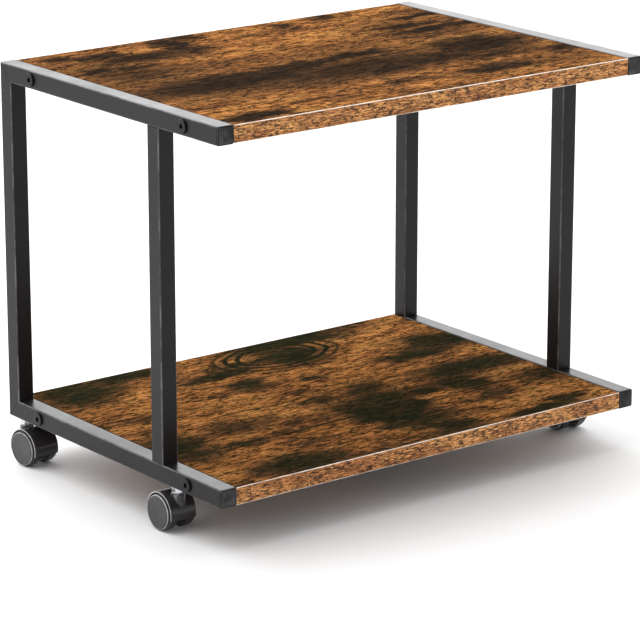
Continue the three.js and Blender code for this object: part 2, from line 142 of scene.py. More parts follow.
class StandSizes(bpy.types.PropertyGroup):
    """Sizes of the fine surfaces. What a piece's own box gives isn't repeated here."""

    tube_corner: length("Tube corner", "Radius of the square tube's outer corners", 1.6)
    tube_wall: length("Tube wall", "Wall thickness of the square tube", 1.2)
    cap_edge: length("Cap edge", "Rounding round the face of an end cap", 1.3)
    cap_corner: length("Cap corner", "Radius of an end cap's corners", 2.0)
    cap_flange: length("Cap flange", "Thickness of an end cap outside its tube", 2.5)
    cap_plug: length("Cap plug", "Width of the part of an end cap inside its tube", 17.0)
    board_edge: length("Board edge", "Rounding of a board's edges", 0.35)
    # A board's ends are darkened over this length as painted shade where they meet the rails.
    board_shade: length("Board end shade", "How far painted shade darkens a board at its ends", 1.6)
    band_edge: length("Band edge", "Rounding of an edge band's outer edges", 0.95)
    bore: length("Insert bore", "Radius of the bores for the insert nuts", 5.0)
    bore_depth: length("Insert bore depth", "Depth of the bores for the insert nuts", 18.0)
    bolt_hole: length("Bolt hole", "Radius of the bolt holes through the rails", 3.3)
    bolt_head: length("Bolt head", "Height of a bolt's head", 2.2)
    bolt_edge: length("Bolt head edge", "Rounding of a bolt head's rim", 0.7)
    bolt_shank: length("Bolt shank", "Radius of a bolt's shank", 3.0)
    bolt_socket: length("Bolt socket", "Size across the flats of the hex socket", 5.0)
    bolt_socket_depth: length("Bolt socket depth", "Depth of the hex socket", 1.9)
    nut_hole: length("Rivet nut hole", "Radius of the holes for the rivet nuts", 5.8)
    nut_sleeve: length("Rivet nut sleeve", "Outer radius of a rivet nut's sleeve", 5.5)
    nut_bore: length("Rivet nut bore", "Radius of a rivet nut's bore", 4.1)
    nut_flange: length("Rivet nut flange", "Thickness of a rivet nut's flange", 1.0)
    nut_grip: length("Rivet nut grip", "Height at which the bulge grips the tube wall", 1.5)
    stem_thread: length("Stem thread", "Radius of a stem's threaded end", 3.8)
    stem_pin: length("Stem pin", "Radius of a stem's swivel pin", 3.4)
    stem_groove: length("Stem groove", "Depth of the swivel pin's snap groove", 0.6)
    collar: length("Stem collar", "Thickness of the collar under the hexagon", 0.8)
    hexagon: length("Stem hexagon", "Size across the flats of a stem's hexagon", 12.0)
    hexagon_height: length("Stem hexagon height", "Height of a stem's hexagon", 5.5)
    pin_above_hood: length("Collar gap", "Gap between the hood's pillar and the collar", 0.4)
    hood_radius: length("Hood radius", "Outer radius of a hood over the wheels", 22.3)
    fender: length("Fender thickness", "Thickness of the hood over a wheel", 1.5)
    fender_reach: length("Fender reach", "How far a hood reaches each way from its middle", 16.3)
    web: length("Hood web", "Half thickness of the web between the wheels", 5.4)
    web_dip: length("Web dip", "How far the web's lower edge is pulled down", 14.0)
    axle_bore: length("Axle bore", "Radius of the axle's bore in the hood and wheels", 2.3)
    fender_far_end: degrees("Fender far end", "Angle at which the hood ends away from the stem", -18)
    fender_stem_end: degrees("Fender stem end", "Angle at which the hood ends under the stem", 196)
    pillar: length("Pillar", "Radius of the pillar that holds the stem", 7.8)
    pillar_rim: length("Pillar rim", "Rounding of the pillar's top rim", 0.9)
    pin_bore: length("Pin bore", "Radius of the swivel pin's bore", 3.7)
    pin_bore_depth: length("Pin bore depth", "Depth of the swivel pin's bore", 14.5)
    wheel_disc: length("Wheel disc", "Radius of a wheel's face disc", 18.8)
    wheel_disc_edge: length("Wheel disc edge", "Rounding of the face disc's edge", 1.5)
    wheel_disc_step: length("Wheel disc step", "Depth of the shallow dish in the face disc", 0.3)
    wheel_tread_end: length("Tread width", "Width of a wheel's tread", 9.6)
    wheel_hub: length("Wheel hub", "Radius of a wheel's hub", 4.5)
    wheel_rim: length("Wheel rim", "Inner radius of a wheel's rim", 15.5)
    wheel_recess: length("Wheel recess", "Thickness of the disc inside the rim", 6.0)
    wheel_bore_end: length("Wheel bore end", "Thickness of the disc over the axle's end", 2.9)


class StandColours(bpy.types.PropertyGroup):
    """Colours of the finishes."""

    powder_coat: colour("Powder coat", "Satin black paint of the tubes", 26, 24, 25)
    # The colour on rubbed edges of the paint, caps and bolts, which also serves as a painted highlight along
    # those edges.
    powder_wear_and_highlight: colour("Powder coat edges", "Rubbed paint and painted highlight on edges", 128, 125, 126)
    cap_plastic: colour("Cap plastic", "Moulded end caps", 12, 12, 13)
    wood_light: colour("Light wood", "Lightest streaks of the boards", 222, 157, 87)
    wood_mid: colour("Mid wood", "Main tone of the boards", 168, 108, 60)
    wood_deep: colour("Deep wood", "Deepest tone between stains", 86, 62, 43)
    stain_top: colour("Upper board stain", "Dark weathered stain of the upper board", 38, 32, 27)
    stain_bottom: colour("Lower board stain", "Dark weathered stain of the lower board", 36, 39, 26)
    band_light: colour("Light band", "Lightest streaks of the edge bands", 238, 172, 104)
    band_mid: colour("Mid band", "Main tone of the edge bands", 208, 140, 80)
    band_deep: colour("Deep band", "Deepest tone of the edge bands", 168, 106, 60)
    # A painted highlight along the bands' rounded long edges.
    band_dark: colour("Band cracks", "Cracks in the edge bands", 46, 29, 20)
    band_edge: colour("Band edge", "Painted highlight along the bands' rounded edges", 255, 244, 232)
    bolt_black: colour("Black bolts", "Black zinc of the shelf bolts", 16, 15, 16)
    zinc: colour("Zinc", "Bright zinc plating", 205, 208, 212)
    yellow_zinc: colour("Insert zinc", "Zinc plating of the insert nuts", 205, 200, 180)
    axle_steel: colour("Axle steel", "Bare steel of the axles", 175, 176, 178)
    hood_nylon: colour("Hood nylon", "Gloss black nylon of the castor hoods", 44, 42, 43)
    wheel_nylon: colour("Wheel nylon", "Dark grey nylon of the wheels", 48, 46, 47)
    # A painted highlight on the hoods' fender rims and the wheels' disc edges.
    nylon_edge: colour("Nylon edge", "Painted highlight on the rims of the hoods and wheels", 220, 220, 222)
    floor: colour("Floor", "Pale studio floor", 244, 244, 244)


class StandStudio(bpy.types.PropertyGroup):
    """The camera and the light."""

    camera_place: FloatVectorProperty(
        name="Camera place", description="Where the camera stands", size=3,
        default=(-2.1581, -2.7896, 1.1819), subtype="TRANSLATION", unit="LENGTH",
    )
    camera_yaw: degrees("Camera yaw", "How far the camera looks right of straight back", 37.689)
    camera_dip: degrees("Camera dip", "How far the camera looks down", 16.173)
    camera_lens: FloatProperty(
        name="Camera lens", description="Focal length on a 36 mm sensor, in millimetres",
        default=186.4, min=1.0,
    )
    sky_front: FloatProperty(
        name="Front sky", description="Brightness of the surroundings in front", default=0.6, min=0.0,
    )
    sky_back: FloatProperty(
        name="Back sky", description="Brightness of the surroundings behind", default=1.7, min=0.0,
    )
    sky_glow: FloatProperty(
        name="Low glow", description="Extra brightness low behind the stand", default=2.3, min=0.0,
    )
    top_light: FloatProperty(
        name="Top light", description="Power of the overhead soft light, in watts",
        default=54.0, min=0.0,
    )
    left_light: FloatProperty(
        name="Left light", description="Power of the soft light on the left, in watts",
        default=6.0, min=0.0,
    )
    floor_size: FloatProperty(
        name="Floor size", description="Width of the square floor", default=16.0, min=1.0,
        subtype="DISTANCE", unit="LENGTH",
    )


# ---- Surfaces ----

def rounded_rectangle(width, height, radii):
    """Points anticlockwise round a rectangle: each corner's centre plus its radius times (cosine,
    sine) over a quarter turn. Also gives the sine of twice that turn, which is 1 on a corner's edge
    and 0 where the flats start."""
    radii = np.broadcast_to(np.asarray(radii, float), 4)
    turn = np.linspace(0.0, 0.5 * np.pi, ARC_STEPS + 1)
    angle = 0.5 * np.pi * np.arange(4)[:, None] + turn
    signs = np.array([[1, 1], [-1, 1], [-1, -1], [1, -1]])
    centres = signs * (np.array([width, height]) / 2 - radii[:, None])
    arcs = np.stack([np.cos(angle), np.sin(angle)], axis=-1) * radii[:, None, None]
    points = (centres[:, None, :] + arcs).reshape(-1, 2)
    return points, np.tile(np.sin(2 * turn), 4)


def stacked(sections, heights):
    """A grid with one row for each section, lifted to its height along the third axis."""
    rows = [
        np.column_stack([section, np.broadcast_to(height, len(section))])
        for section, height in zip(sections, heights)
    ]
    return np.stack(rows)


def turned(rings, columns=SMALL_TURN):
    """A grid turned about the third axis: (radius cosine, radius sine, height) for each ring. A
    ring's radius is a number, or a function of the angle for a hexagon."""
    angle = np.arange(columns) * 2 * np.pi / columns
    rows = []
    for radius, height in rings:
        reach = radius(angle) if callable(radius) else np.full(columns, float(radius))
        level = np.full(columns, float(height))
        rows.append(np.column_stack([reach * np.cos(angle), reach * np.sin(angle), level]))
    return np.stack(rows)


def hexagon(across_flats, limit=math.inf):
    """The radius of a hexagon at an angle: half the size across its flats over the cosine of the
    angle from the nearest flat's middle, cut off at a limit as a chamfer does."""
    def radius(angle):
        from_flat = (angle + np.pi / 6) % (np.pi / 3) - np.pi / 6
        return np.minimum(across_flats / 2 / np.cos(from_flat), limit)
    return radius


def quarter(centre_radius, centre_height, radius, start, end, steps=ARC_STEPS):
    """Rings of a quarter round, from one angle to the other in degrees."""
    angle = np.radians(np.linspace(start, end, steps + 1))
    return list(zip(centre_radius + radius * np.cos(angle), centre_height + radius * np.sin(angle)))


def surface_mesh(name, grid, edge=None, ring=False, capped=False):
    """A closed mesh from a grid of points. Columns run anticlockwise round the shape and close on
    themselves, rows run up it. A ring's last row meets its first, and a capped grid gets a flat face
    at each end. Points that coincide at a pole are merged."""
    rows, columns = grid.shape[:2]
    index = np.arange(rows * columns).reshape(rows, columns)
    around = np.hstack([index, index[:, :1]])
    if ring:
        around = np.vstack([around, around[:1]])
    quads = [around[:-1, :-1], around[:-1, 1:], around[1:, 1:], around[1:, :-1]]
    faces = np.stack(quads, axis=-1).reshape(-1, 4).tolist()
    if capped:
        faces += [index[0, ::-1].tolist(), index[-1].tolist()]
    mesh = bpy.data.meshes.new(name)
    mesh.from_pydata(grid.reshape(-1, 3).tolist(), [], faces)
    wear_and_painted_light = mesh.attributes.new("edge", "FLOAT", "POINT")
    values = np.zeros((rows, columns)) if edge is None else np.broadcast_to(edge, (rows, columns))
    wear_and_painted_light.data.foreach_set("value", values.astype(np.float32).ravel())
    shape = bmesh.new()
    shape.from_mesh(mesh)
    bmesh.ops.remove_doubles(shape, verts=shape.verts, dist=MERGE_DISTANCE)
    shape.to_mesh(mesh)
    shape.free()
    return mesh


def combined(mesh, tool, operation):
    """The first closed mesh joined with the second, or cut by it. Both are used up."""
    objects = [bpy.data.objects.new(part.name, part) for part in (mesh, tool)]
    for made in objects:
        bpy.context.scene.collection.objects.link(made)
    step = objects[0].modifiers.new("Combine", "BOOLEAN")
    step.operation = operation
    step.object = objects[1]
    step.solver = "EXACT"
    graph = bpy.context.evaluated_depsgraph_get()
    result = bpy.data.meshes.new_from_object(
        objects[0].evaluated_get(graph), preserve_all_data_layers=True, depsgraph=graph,
    )
    for made in objects:
        bpy.data.objects.remove(made)
    return result


def rod(radius, bottom, top, matrix, columns=SMALL_TURN):
    """A round cutter about the third axis of a place."""
    mesh = surface_mesh("cutter", turned([(radius, bottom), (radius, top)], columns), capped=True)
    mesh.transform(matrix)
    return mesh


def axes(third, first, origin):
    """The place whose third and first axes are given. Its second axis makes it right-handed."""
    third, first = Vector(third).normalized(), Vector(first).normalized()
    rotation = Matrix((first, third.cross(first), third)).transposed()
    return Matrix.Translation(Vector(origin)) @ rotation.to_4x4()


def add_piece(name, mesh, body, slot, material, *nodes):
    """Shows a mesh as a piece that rides on a body and stands for CAD nodes."""
    mesh.name = name
    mesh.materials.clear()
    mesh.materials.append(material)
    mesh.shade_smooth()
    mesh.set_sharp_from_angle(angle=SHARP_ANGLE)
    piece = bpy.data.objects.new(name, mesh)
    bpy.context.scene.collection.objects.link(piece)
    even = piece.modifiers.new("Even normals", "WEIGHTED_NORMAL")
    even.keep_sharp = True
    even.weight = 100
    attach(piece, body)
    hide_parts(*nodes)
    return piece


def box_of(node):
    """A node's middle and size."""
    low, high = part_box(node)
    return (low + high) / 2, high - low


# ---- The stand's own shapes ----

def tube_mesh(name, size, reach, start_slope, end_slope, sizes):
    """A square tube along the third axis. Its outer and inner sections run to an end that is square,
    or that a 45 degree mitre moves by the section's second coordinate."""
    outer, edge = rounded_rectangle(size, size, sizes.tube_corner)
    hollow = size - 2 * sizes.tube_wall
    inner_corner = sizes.tube_corner - sizes.tube_wall + 0.2 * MM
    inner, _ = rounded_rectangle(hollow, hollow, inner_corner)

    def foot(section):
        return abs(start_slope) * size / 2 - start_slope * section[:, 1]

    def head(section):
        return reach - abs(end_slope) * size / 2 + end_slope * section[:, 1]

    grid = stacked([outer, outer, inner, inner], [foot(outer), head(outer), head(inner), foot(inner)])
    # The outer corners are marked for rubbed paint and a painted highlight.
    wear_and_painted_light = np.stack([edge, edge, 0 * edge, 0 * edge])
    return surface_mesh(name, grid, edge=wear_and_painted_light, ring=True)


def end_cap_mesh(name, size, depth, sizes):
    """A cap along the third axis: a flat face, a quarter round from the face to the flange's sides,
    and a plug behind the flange."""
    angle = np.linspace(0.0, 0.5 * np.pi, ARC_STEPS + 1)
    corner_draw = 0.6
    plug_corner, plug_chamfer = 0.5 * MM, 1 * MM
    sections, heights, wear_and_painted_light = [], [], []
    for inset, height in zip(sizes.cap_edge * (1 - np.sin(angle)), sizes.cap_edge * (1 - np.cos(angle))):
        corner = sizes.cap_corner - corner_draw * inset
        section, edge = rounded_rectangle(size - 2 * inset, size - 2 * inset, corner)
        sections.append(section)
        heights.append(height)
        # The face's rounding is marked for rubbed edges and a painted highlight.
        wear_and_painted_light.append(np.maximum(edge, math.sin(math.pi * height / sizes.cap_edge)))
    plug, _ = rounded_rectangle(sizes.cap_plug, sizes.cap_plug, plug_corner)
    tip_width = sizes.cap_plug - corner_draw * plug_chamfer
    tip, _ = rounded_rectangle(tip_width, tip_width, corner_draw * plug_corner)
    sections += [section, plug, plug, tip]
    heights += [sizes.cap_flange, sizes.cap_flange, depth - plug_chamfer, depth]
    wear_and_painted_light += [edge, 0 * edge, 0 * edge, 0 * edge]
    return surface_mesh(name, stacked(sections, heights), edge=np.stack(wear_and_painted_light), capped=True)


def plank_mesh(name, width, height, reach, radii, end_edge, end_shade):
    """A rounded rectangle run along the third axis, a little smaller at both ends so that the end edges are
    broken. The edge attribute marks the ends for painted shade and fades within the end shade. Without an
    end shade it marks the long edges for a painted highlight."""
    section, edge = rounded_rectangle(width, height, radii)
    shrink = np.array([1 - 2 * end_edge / width, 1 - 2 * end_edge / height])
    end = reach / 2
    heights = [end, end - end_edge, end - end_edge - max(end_shade, 1 * MM)]
    heights = [-level for level in heights] + heights[::-1]
    small = section * shrink
    grid = stacked([small, section, section, section, section, small], heights)
    at_end = np.array([1.0, 1.0, 0.0, 0.0, 1.0, 1.0])[:, None]
    wear_and_painted_light = at_end + 0 * edge if end_shade else 0 * at_end + edge
    return surface_mesh(name, grid, edge=wear_and_painted_light, capped=True)


def bolt_mesh(name, head_radius, reach, sizes):
    """A bolt with its seat at zero and its head above it: a shank, a flat round head with a rounded
    rim, and a hex socket with a broken edge."""
    s = sizes
    top = s.bolt_head
    tip = top - reach
    rim = quarter(head_radius - s.bolt_edge, top - s.bolt_edge, s.bolt_edge, 0, 90)
    tip_width, tip_length = 0.6 * MM, 0.8 * MM
    bevel = 0.35 * MM
    bevel_limit = 0.62 * s.bolt_socket
    socket = hexagon(s.bolt_socket)
    socket_floor = top - s.bolt_socket_depth
    drill_point = 0.1 * MM
    rings = [
        (0, tip), (s.bolt_shank - tip_width, tip), (s.bolt_shank, tip + tip_length), (s.bolt_shank, 0),
        (head_radius, 0), *rim,
        (hexagon(s.bolt_socket + 2 * bevel, limit=bevel_limit), top),
        (socket, top - bevel), (socket, socket_floor), (0, socket_floor - drill_point),
    ]
    return surface_mesh(name, turned(rings))


def rivet_nut_mesh(name, flange_radius, reach, sizes):
    """A sleeve with its flange under zero, and a bulge that grips the tube wall from inside."""
    s = sizes
    edge = 0.35 * MM
    under = quarter(flange_radius - edge, edge - s.nut_flange, edge, -90, 0)
    bulge = s.nut_sleeve + 1.4 * MM
    bulge_top = s.nut_grip + 2 * MM
    slope_top = bulge_top + 1 * MM
    top = reach - s.nut_flange
    rings = [
        (s.nut_bore, -s.nut_flange), *under, (flange_radius, 0), (s.nut_sleeve, 0),
        (s.nut_sleeve, s.nut_grip), (bulge, s.nut_grip), (bulge, bulge_top),
        (s.nut_sleeve, slope_top), (s.nut_sleeve, top), (s.nut_bore, top),
    ]
    return surface_mesh(name, turned(rings), ring=True)


def stem_mesh(name, bottom, top, collar_bottom, collar_radius, sizes):
    """A stem about the third axis, upwards: a swivel pin with a snap groove, a round collar, a
    hexagon with chamfered corners, and a threaded end."""
    s = sizes
    pin_chamfer = 0.4 * MM
    groove_bottom = bottom + 3 * MM
    groove_top = groove_bottom + 2 * MM
    groove_slope = 0.2 * MM
    groove_radius = s.stem_pin - s.stem_groove
    hex_bottom = collar_bottom + s.collar
    hex_top = hex_bottom + s.hexagon_height
    corner = s.hexagon / math.sqrt(3)
    flat = s.hexagon / 2
    chamfer = 0.5 * (corner - flat)
    neck = flat - 0.4 * MM
    neck_top = hex_top + 0.3 * MM
    cut_corners, full_corners = [hexagon(s.hexagon, limit=limit) for limit in (flat, corner)]
    collar_edge = 0.3 * MM
    end_chamfer = 0.8 * MM
    pitch, thread_depth = 1.25 * MM, 0.5 * MM
    thread = []
    for crest in np.arange(hex_top + 1.5 * MM, top - 1 * MM, pitch):
        thread += [(s.stem_thread, crest), (s.stem_thread - thread_depth, crest + pitch / 2)]
    rings = [
        (0, bottom), (s.stem_pin - pin_chamfer, bottom), (s.stem_pin, bottom + pin_chamfer),
        (s.stem_pin, groove_bottom), (groove_radius, groove_bottom + groove_slope),
        (groove_radius, groove_top - groove_slope), (s.stem_pin, groove_top),
        (s.stem_pin, collar_bottom),
        *quarter(collar_radius - collar_edge, collar_bottom + collar_edge, collar_edge, -90, 0, 4),
        *quarter(collar_radius - collar_edge, hex_bottom - collar_edge, collar_edge, 0, 90, 4),
        (cut_corners, hex_bottom), (full_corners, hex_bottom + chamfer),
        (full_corners, hex_top - chamfer), (cut_corners, hex_top),
        (neck, hex_top), (neck, neck_top), (s.stem_thread, neck_top),
        *thread, (s.stem_thread - end_chamfer, top), (0, top),
    ]
    return surface_mesh(name, turned(rings))


def wheel_mesh(name, radius, back, face, sizes):
    """A wheel about the third axis: a blind bore, a hollow back round the hub, a rounded tread, and
    a face disc with a rounded edge and a shallow dish."""
    s = sizes
    disc, edge, dish = s.wheel_disc, s.wheel_disc_edge, s.wheel_disc_step
    tread_end = back + s.wheel_tread_end
    floor = face - s.wheel_recess
    bore_end = face - s.wheel_bore_end
    tread_round = 1.2 * MM
    seat, seat_round, seat_gap = disc - 0.4 * MM, 0.4 * MM, 0.5 * MM
    neck = seat - 0.1 * MM
    dish_radius, dish_wall_width = disc - edge - 0.7 * MM, 0.5 * MM
    dish_wall = [
        (dish_radius + dish_wall_width * (u - 1), face - dish * (1 - v))
        for u, v in quarter(0, 0, 1, 90, 0)
    ]
    rings = [
        (0, bore_end), (s.axle_bore, bore_end), (s.axle_bore, back), (s.wheel_hub, back),
        (s.wheel_hub, floor), (s.wheel_rim, floor), (s.wheel_rim, back),
        *quarter(radius - tread_round, back + tread_round, tread_round, -90, 0),
        *quarter(radius - tread_round, tread_end - tread_round, tread_round, 0, 90),
        (neck, tread_end), (neck, tread_end + seat_gap),
        *quarter(seat, tread_end + seat_gap + seat_round, seat_round, -90, 0, 4),
        *quarter(disc - edge, face - edge, edge, 0, 90),
        *sorted(dish_wall, reverse=True),
        (0.5 * disc, face - 1.1 * dish), (0, face - 1.15 * dish),
    ]
    levels = np.array([height for _, height in rings])
    radii = np.array([radius for radius, _ in rings])
    # The face disc's rounded edge is marked for a painted highlight.
    on_edge = (radii > disc - edge - 0.01 * MM) & (levels > tread_end)
    wear_and_painted_light = np.where(on_edge, np.sin(np.pi * np.clip((face - levels) / edge, 0, 1)), 0.0)
    return surface_mesh(name, turned(rings, LARGE_TURN), edge=wear_and_painted_light[:, None])


def hood_profile(sizes):
    """Half of the hood's section from its axle bore to its crown, as the reach from the middle, the level
    between the fender's inside (0) and outside (1), whether a point is on the bore, and how strongly it gets
    the painted highlight on the fender's rim. The fender's rim is a half round. Inside it the crown falls by
    a smooth step, with a sine's shallow valley on the way."""
    s = sizes
    fall_width, fall, valley_depth = 2.2 * MM, 0.22, 0.2
    nose = s.fender / 2
    turn = np.linspace(-0.5 * np.pi, 0.5 * np.pi, 2 * ARC_STEPS + 1)
    rim = s.fender_reach - nose + nose * np.cos(turn)
    run = np.linspace(0.0, 1.0, ARC_STEPS + 1)[1:]
    valley = s.fender_reach - nose - fall_width * run
    valley_level = 1 - fall * run * run * (3 - 2 * run) - valley_depth * np.sin(np.pi * run) ** 2
    reach = np.concatenate([[0, s.web, s.web], rim, valley, [s.web, 0]])
    level = np.concatenate([[0, 0, 0], 0.5 + 0.5 * np.sin(turn), valley_level, [valley_level[-1]] * 2])
    on_bore = np.arange(len(reach)) < 2
    # The fender's rim is marked for a painted highlight, strongest on its middle.
    wear_and_painted_light = np.concatenate([[0, 0, 0], np.cos(turn), 0 * valley, [0, 0]])
    return reach, level, on_bore, wear_and_painted_light


def hood_outline(sizes):
    """The hood's outline round the axle as its angle, its outer radius and how far the fenders reach
    there. Over the wheels it is an arc. Near each end the fenders draw in as a superellipse of the
    third power does. Under the axle it is a quadratic curve that the web's dip pulls down."""
    s = sizes
    crown_steps, lower_steps = 104, 24
    far, near = s.fender_far_end, s.fender_stem_end
    draw_in = 1.6 * MM / s.hood_radius
    arc = np.linspace(far + draw_in, near - draw_in, crown_steps + 1)
    turn = np.linspace(0.5 * np.pi, 0.0, ARC_STEPS + 1)[:-1]
    along, across = np.sin(turn) ** (2 / 3), np.cos(turn) ** (2 / 3)
    t = np.linspace(0.0, 1.0, lower_steps + 1)[1:-1]
    ends = s.hood_radius * np.array([[math.cos(near), math.sin(near)], [math.cos(far), math.sin(far)]])
    dip = np.array([0.0, -s.web_dip])
    lower = np.outer((1 - t) ** 2, ends[0]) + np.outer(2 * t * (1 - t), dip) + np.outer(t * t, ends[1])
    angle = np.concatenate([
        far + draw_in * (1 - along), arc, (near - draw_in * (1 - along))[::-1],
        np.arctan2(lower[:, 1], lower[:, 0]) + 2 * np.pi,
    ])
    over = len(angle) - len(t)
    radius = np.concatenate([np.full(over, s.hood_radius), np.hypot(lower[:, 0], lower[:, 1])])
    fenders = np.concatenate([across, np.ones(len(arc)), across[::-1], np.zeros(len(t))])
    return angle, radius, fenders


def hood_mesh(name, trail, pillar_top, sizes):
    """A hood about its axle, with the first axis along the axle. Its section is swept round the
    outline, a pillar is joined to it at the stem, and the swivel pin's bore is cut."""
    s = sizes
    reach, level, on_bore, wear_and_painted_light = hood_profile(s)
    reach = np.concatenate([reach, -reach[-2:0:-1]])
    level, on_bore, wear_and_painted_light = [np.concatenate([a, a[-2:0:-1]]) for a in (level, on_bore, wear_and_painted_light)]
    angle, outer, fenders = [column[:, None] for column in hood_outline(s)]
    inner = np.minimum(s.hood_radius - s.fender, outer)
    past_web = np.sign(reach) * (s.web + (np.abs(reach) - s.web) * fenders)
    across = np.where(np.abs(reach) > s.web, past_web, reach + 0 * fenders)
    radius = np.where(on_bore, s.axle_bore, inner + (outer - inner) * level)
    grid = np.stack([across, radius * np.cos(angle), radius * np.sin(angle)], axis=-1)
    # The painted highlight on the fender rims fades where the fenders draw in.
    drum = surface_mesh(name, grid, edge=wear_and_painted_light * fenders, ring=True)

    stem = Matrix.Translation((0, -trail, 0))
    foot = 1 * MM
    rim = quarter(s.pillar - s.pillar_rim, pillar_top - s.pillar_rim, s.pillar_rim, 0, 90)
    pillar = surface_mesh("pillar", turned([(0, foot), (s.pillar, foot), *rim, (0, pillar_top)], LARGE_TURN))
    pillar.transform(stem)
    # The wheels' room is cut from the pillar just inside the drum's own walls.
    room = s.hood_radius - 0.55 * s.fender
    room_start = s.web - 0.4 * MM
    for side in (-1, 1):
        across_axle = axes((side, 0, 0), (0, 0, 1), (0, 0, 0))
        cutter = rod(room, room_start, 2 * s.fender_reach, across_axle, LARGE_TURN)
        pillar = combined(pillar, cutter, "DIFFERENCE")
    hood = combined(drum, pillar, "UNION")
    bore = rod(s.pin_bore, pillar_top - s.pin_bore_depth, 2 * pillar_top, stem)
    return combined(hood, bore, "DIFFERENCE")


CastorPlaces = namedtuple("CastorPlaces", "stem axle trail pillar_top")


def castor_places(castor):
    """A castor's stem and axle places, with the first axis along the axle. The trail is how far the
    axle lies behind the stem, and the pillar top is how high the hood's pillar ends above the axle."""
    stem = Vector(JOINTS[f"{castor}_swivel"]["pos_m"])
    axle = Vector(JOINTS[f"{castor}_outer_wheel_roll"]["pos_m"])
    back = Vector((axle.x - stem.x, axle.y - stem.y, 0))
    up = Vector((0, 0, 1))
    across = back.cross(up)
    return CastorPlaces(
        axes(up, across, (stem.x, stem.y, 0)), axes(up, across, axle), back.length, stem.z - axle.z)


# ---- Node helpers ----

def add_node(tree, kind, inputs=(), **options):
    """Adds a node, sets its options, and sets or links each of its inputs."""
    made = tree.nodes.new(kind)
    for option, value in options.items():
        setattr(made, option, value)
    for key, value in dict(inputs).items():
        if isinstance(value, bpy.types.NodeSocket):
            tree.links.new(value, made.inputs[key])
        else:
            made.inputs[key].default_value = value
    return made


def maths(tree, operation, *values):
    inputs = dict(enumerate(values))
    return add_node(tree, "ShaderNodeMath", inputs, operation=operation).outputs[0]


def vectors(tree, operation, *values):
    inputs = dict(enumerate(values))
    output = "Value" if operation == "LENGTH" else "Vector"
    return add_node(tree, "ShaderNodeVectorMath", inputs, operation=operation).outputs[output]


def noise(tree, vector, stretch, detail=4.0, rough=0.55, bend=0.0):
    """Noise whose grains are as many to the metre along each axis as the stretch says."""
    place = vectors(tree, "MULTIPLY", vector, stretch)
    inputs = {"Vector": place, "Scale": 1.0, "Detail": detail, "Roughness": rough, "Distortion": bend}
    return add_node(tree, "ShaderNodeTexNoise", inputs).outputs["Fac"]


def between(tree, value, low, high, start=0.0, end=1.0):
    """A smooth step from start to end while the value goes from low to high."""
    inputs = {"Value": value, "From Min": low, "From Max": high, "To Min": start, "To Max": end}
    return add_node(tree, "ShaderNodeMapRange", inputs, interpolation_type="SMOOTHSTEP").outputs["Result"]


def swing(tree, value, amount):
    """Noise stretched to run from minus to plus an amount."""
    return between(tree, value, NOISE_LOW, NOISE_HIGH, -amount, amount)


def total(tree, first, *others):
    """The sum of several values."""
    for value in others:
        first = maths(tree, "ADD", first, value)
    return first


def blend(tree, factor, first, second, mode="MIX"):
    """Mixes two colours by a factor."""
    inputs = {0: factor, 6: first, 7: second}
    return add_node(tree, "ShaderNodeMix", inputs, data_type="RGBA", blend_type=mode).outputs[2]


def solid(rgb):
    return (*rgb, 1.0)


def new_group(name, inputs, outputs):
    """An empty shader node group with its sockets, and its inner input and output sockets."""
    group = bpy.data.node_groups.new(name, "ShaderNodeTree")
    for socket_name, kind, default in inputs:
        socket = group.interface.new_socket(socket_name, in_out="INPUT", socket_type="NodeSocket" + kind)
        socket.default_value = default
    for socket_name, kind in outputs:
        group.interface.new_socket(socket_name, in_out="OUTPUT", socket_type="NodeSocket" + kind)
    entry = group.nodes.new("NodeGroupInput")
    leave = group.nodes.new("NodeGroupOutput")
    return group, entry.outputs, leave.inputs


def use_group(tree, group, inputs):
    return add_node(tree, "ShaderNodeGroup", inputs, node_tree=bpy.data.node_groups[group]).outputs


# ---- Effects that several finishes share ----

def build_surface_grain():
    """Fine bumps of paint or a mould, and broad handling marks that change how rough it is."""
    group, given, result = new_group(
        "Surface Grain",
        [("Vector", "Vector", (0, 0, 0)), ("Grains", "Float", 1500.0), ("Roughness", "Float", 0.4),
         ("Spread", "Float", 0.1)],
        [("Roughness", "Float"), ("Height", "Float")],
    )
    fine = add_node(group, "ShaderNodeTexNoise", {
        "Vector": given["Vector"], "Scale": given["Grains"], "Detail": 2.0, "Roughness": 0.5,
    }).outputs["Fac"]
    broad = noise(group, given["Vector"], (9, 9, 9), 5.0, 0.6, 0.4)
    streaks = noise(group, given["Vector"], (70, 70, 70), 3.0, 0.6)
    marks = total(group, swing(group, broad, 0.7), swing(group, streaks, 0.3), swing(group, fine, 0.3))
    away = maths(group, "MULTIPLY", marks, given["Spread"])
    group.links.new(maths(group, "ADD", given["Roughness"], away), result["Roughness"])
    group.links.new(fine, result["Height"])


def build_edge_wear_and_painted_light():
    """A mask of rubbed edges, and of painted highlights and painted shade on edges, broken up by noise, from
    the pieces' own edge attribute.
    """
    group, given, result = new_group(
        "Edge Wear and Painted Light",
        [("Vector", "Vector", (0, 0, 0)), ("Edge", "Float", 0.0), ("Amount", "Float", 0.5)],
        [("Mask", "Float")],
    )
    patchy = noise(group, given["Vector"], (35, 35, 35), 6.0, 0.7)
    level = maths(group, "MULTIPLY", given["Edge"], between(group, patchy, 0.35, 0.7, 0.25, 1.0))
    group.links.new(maths(group, "MULTIPLY", level, given["Amount"]), result["Mask"])


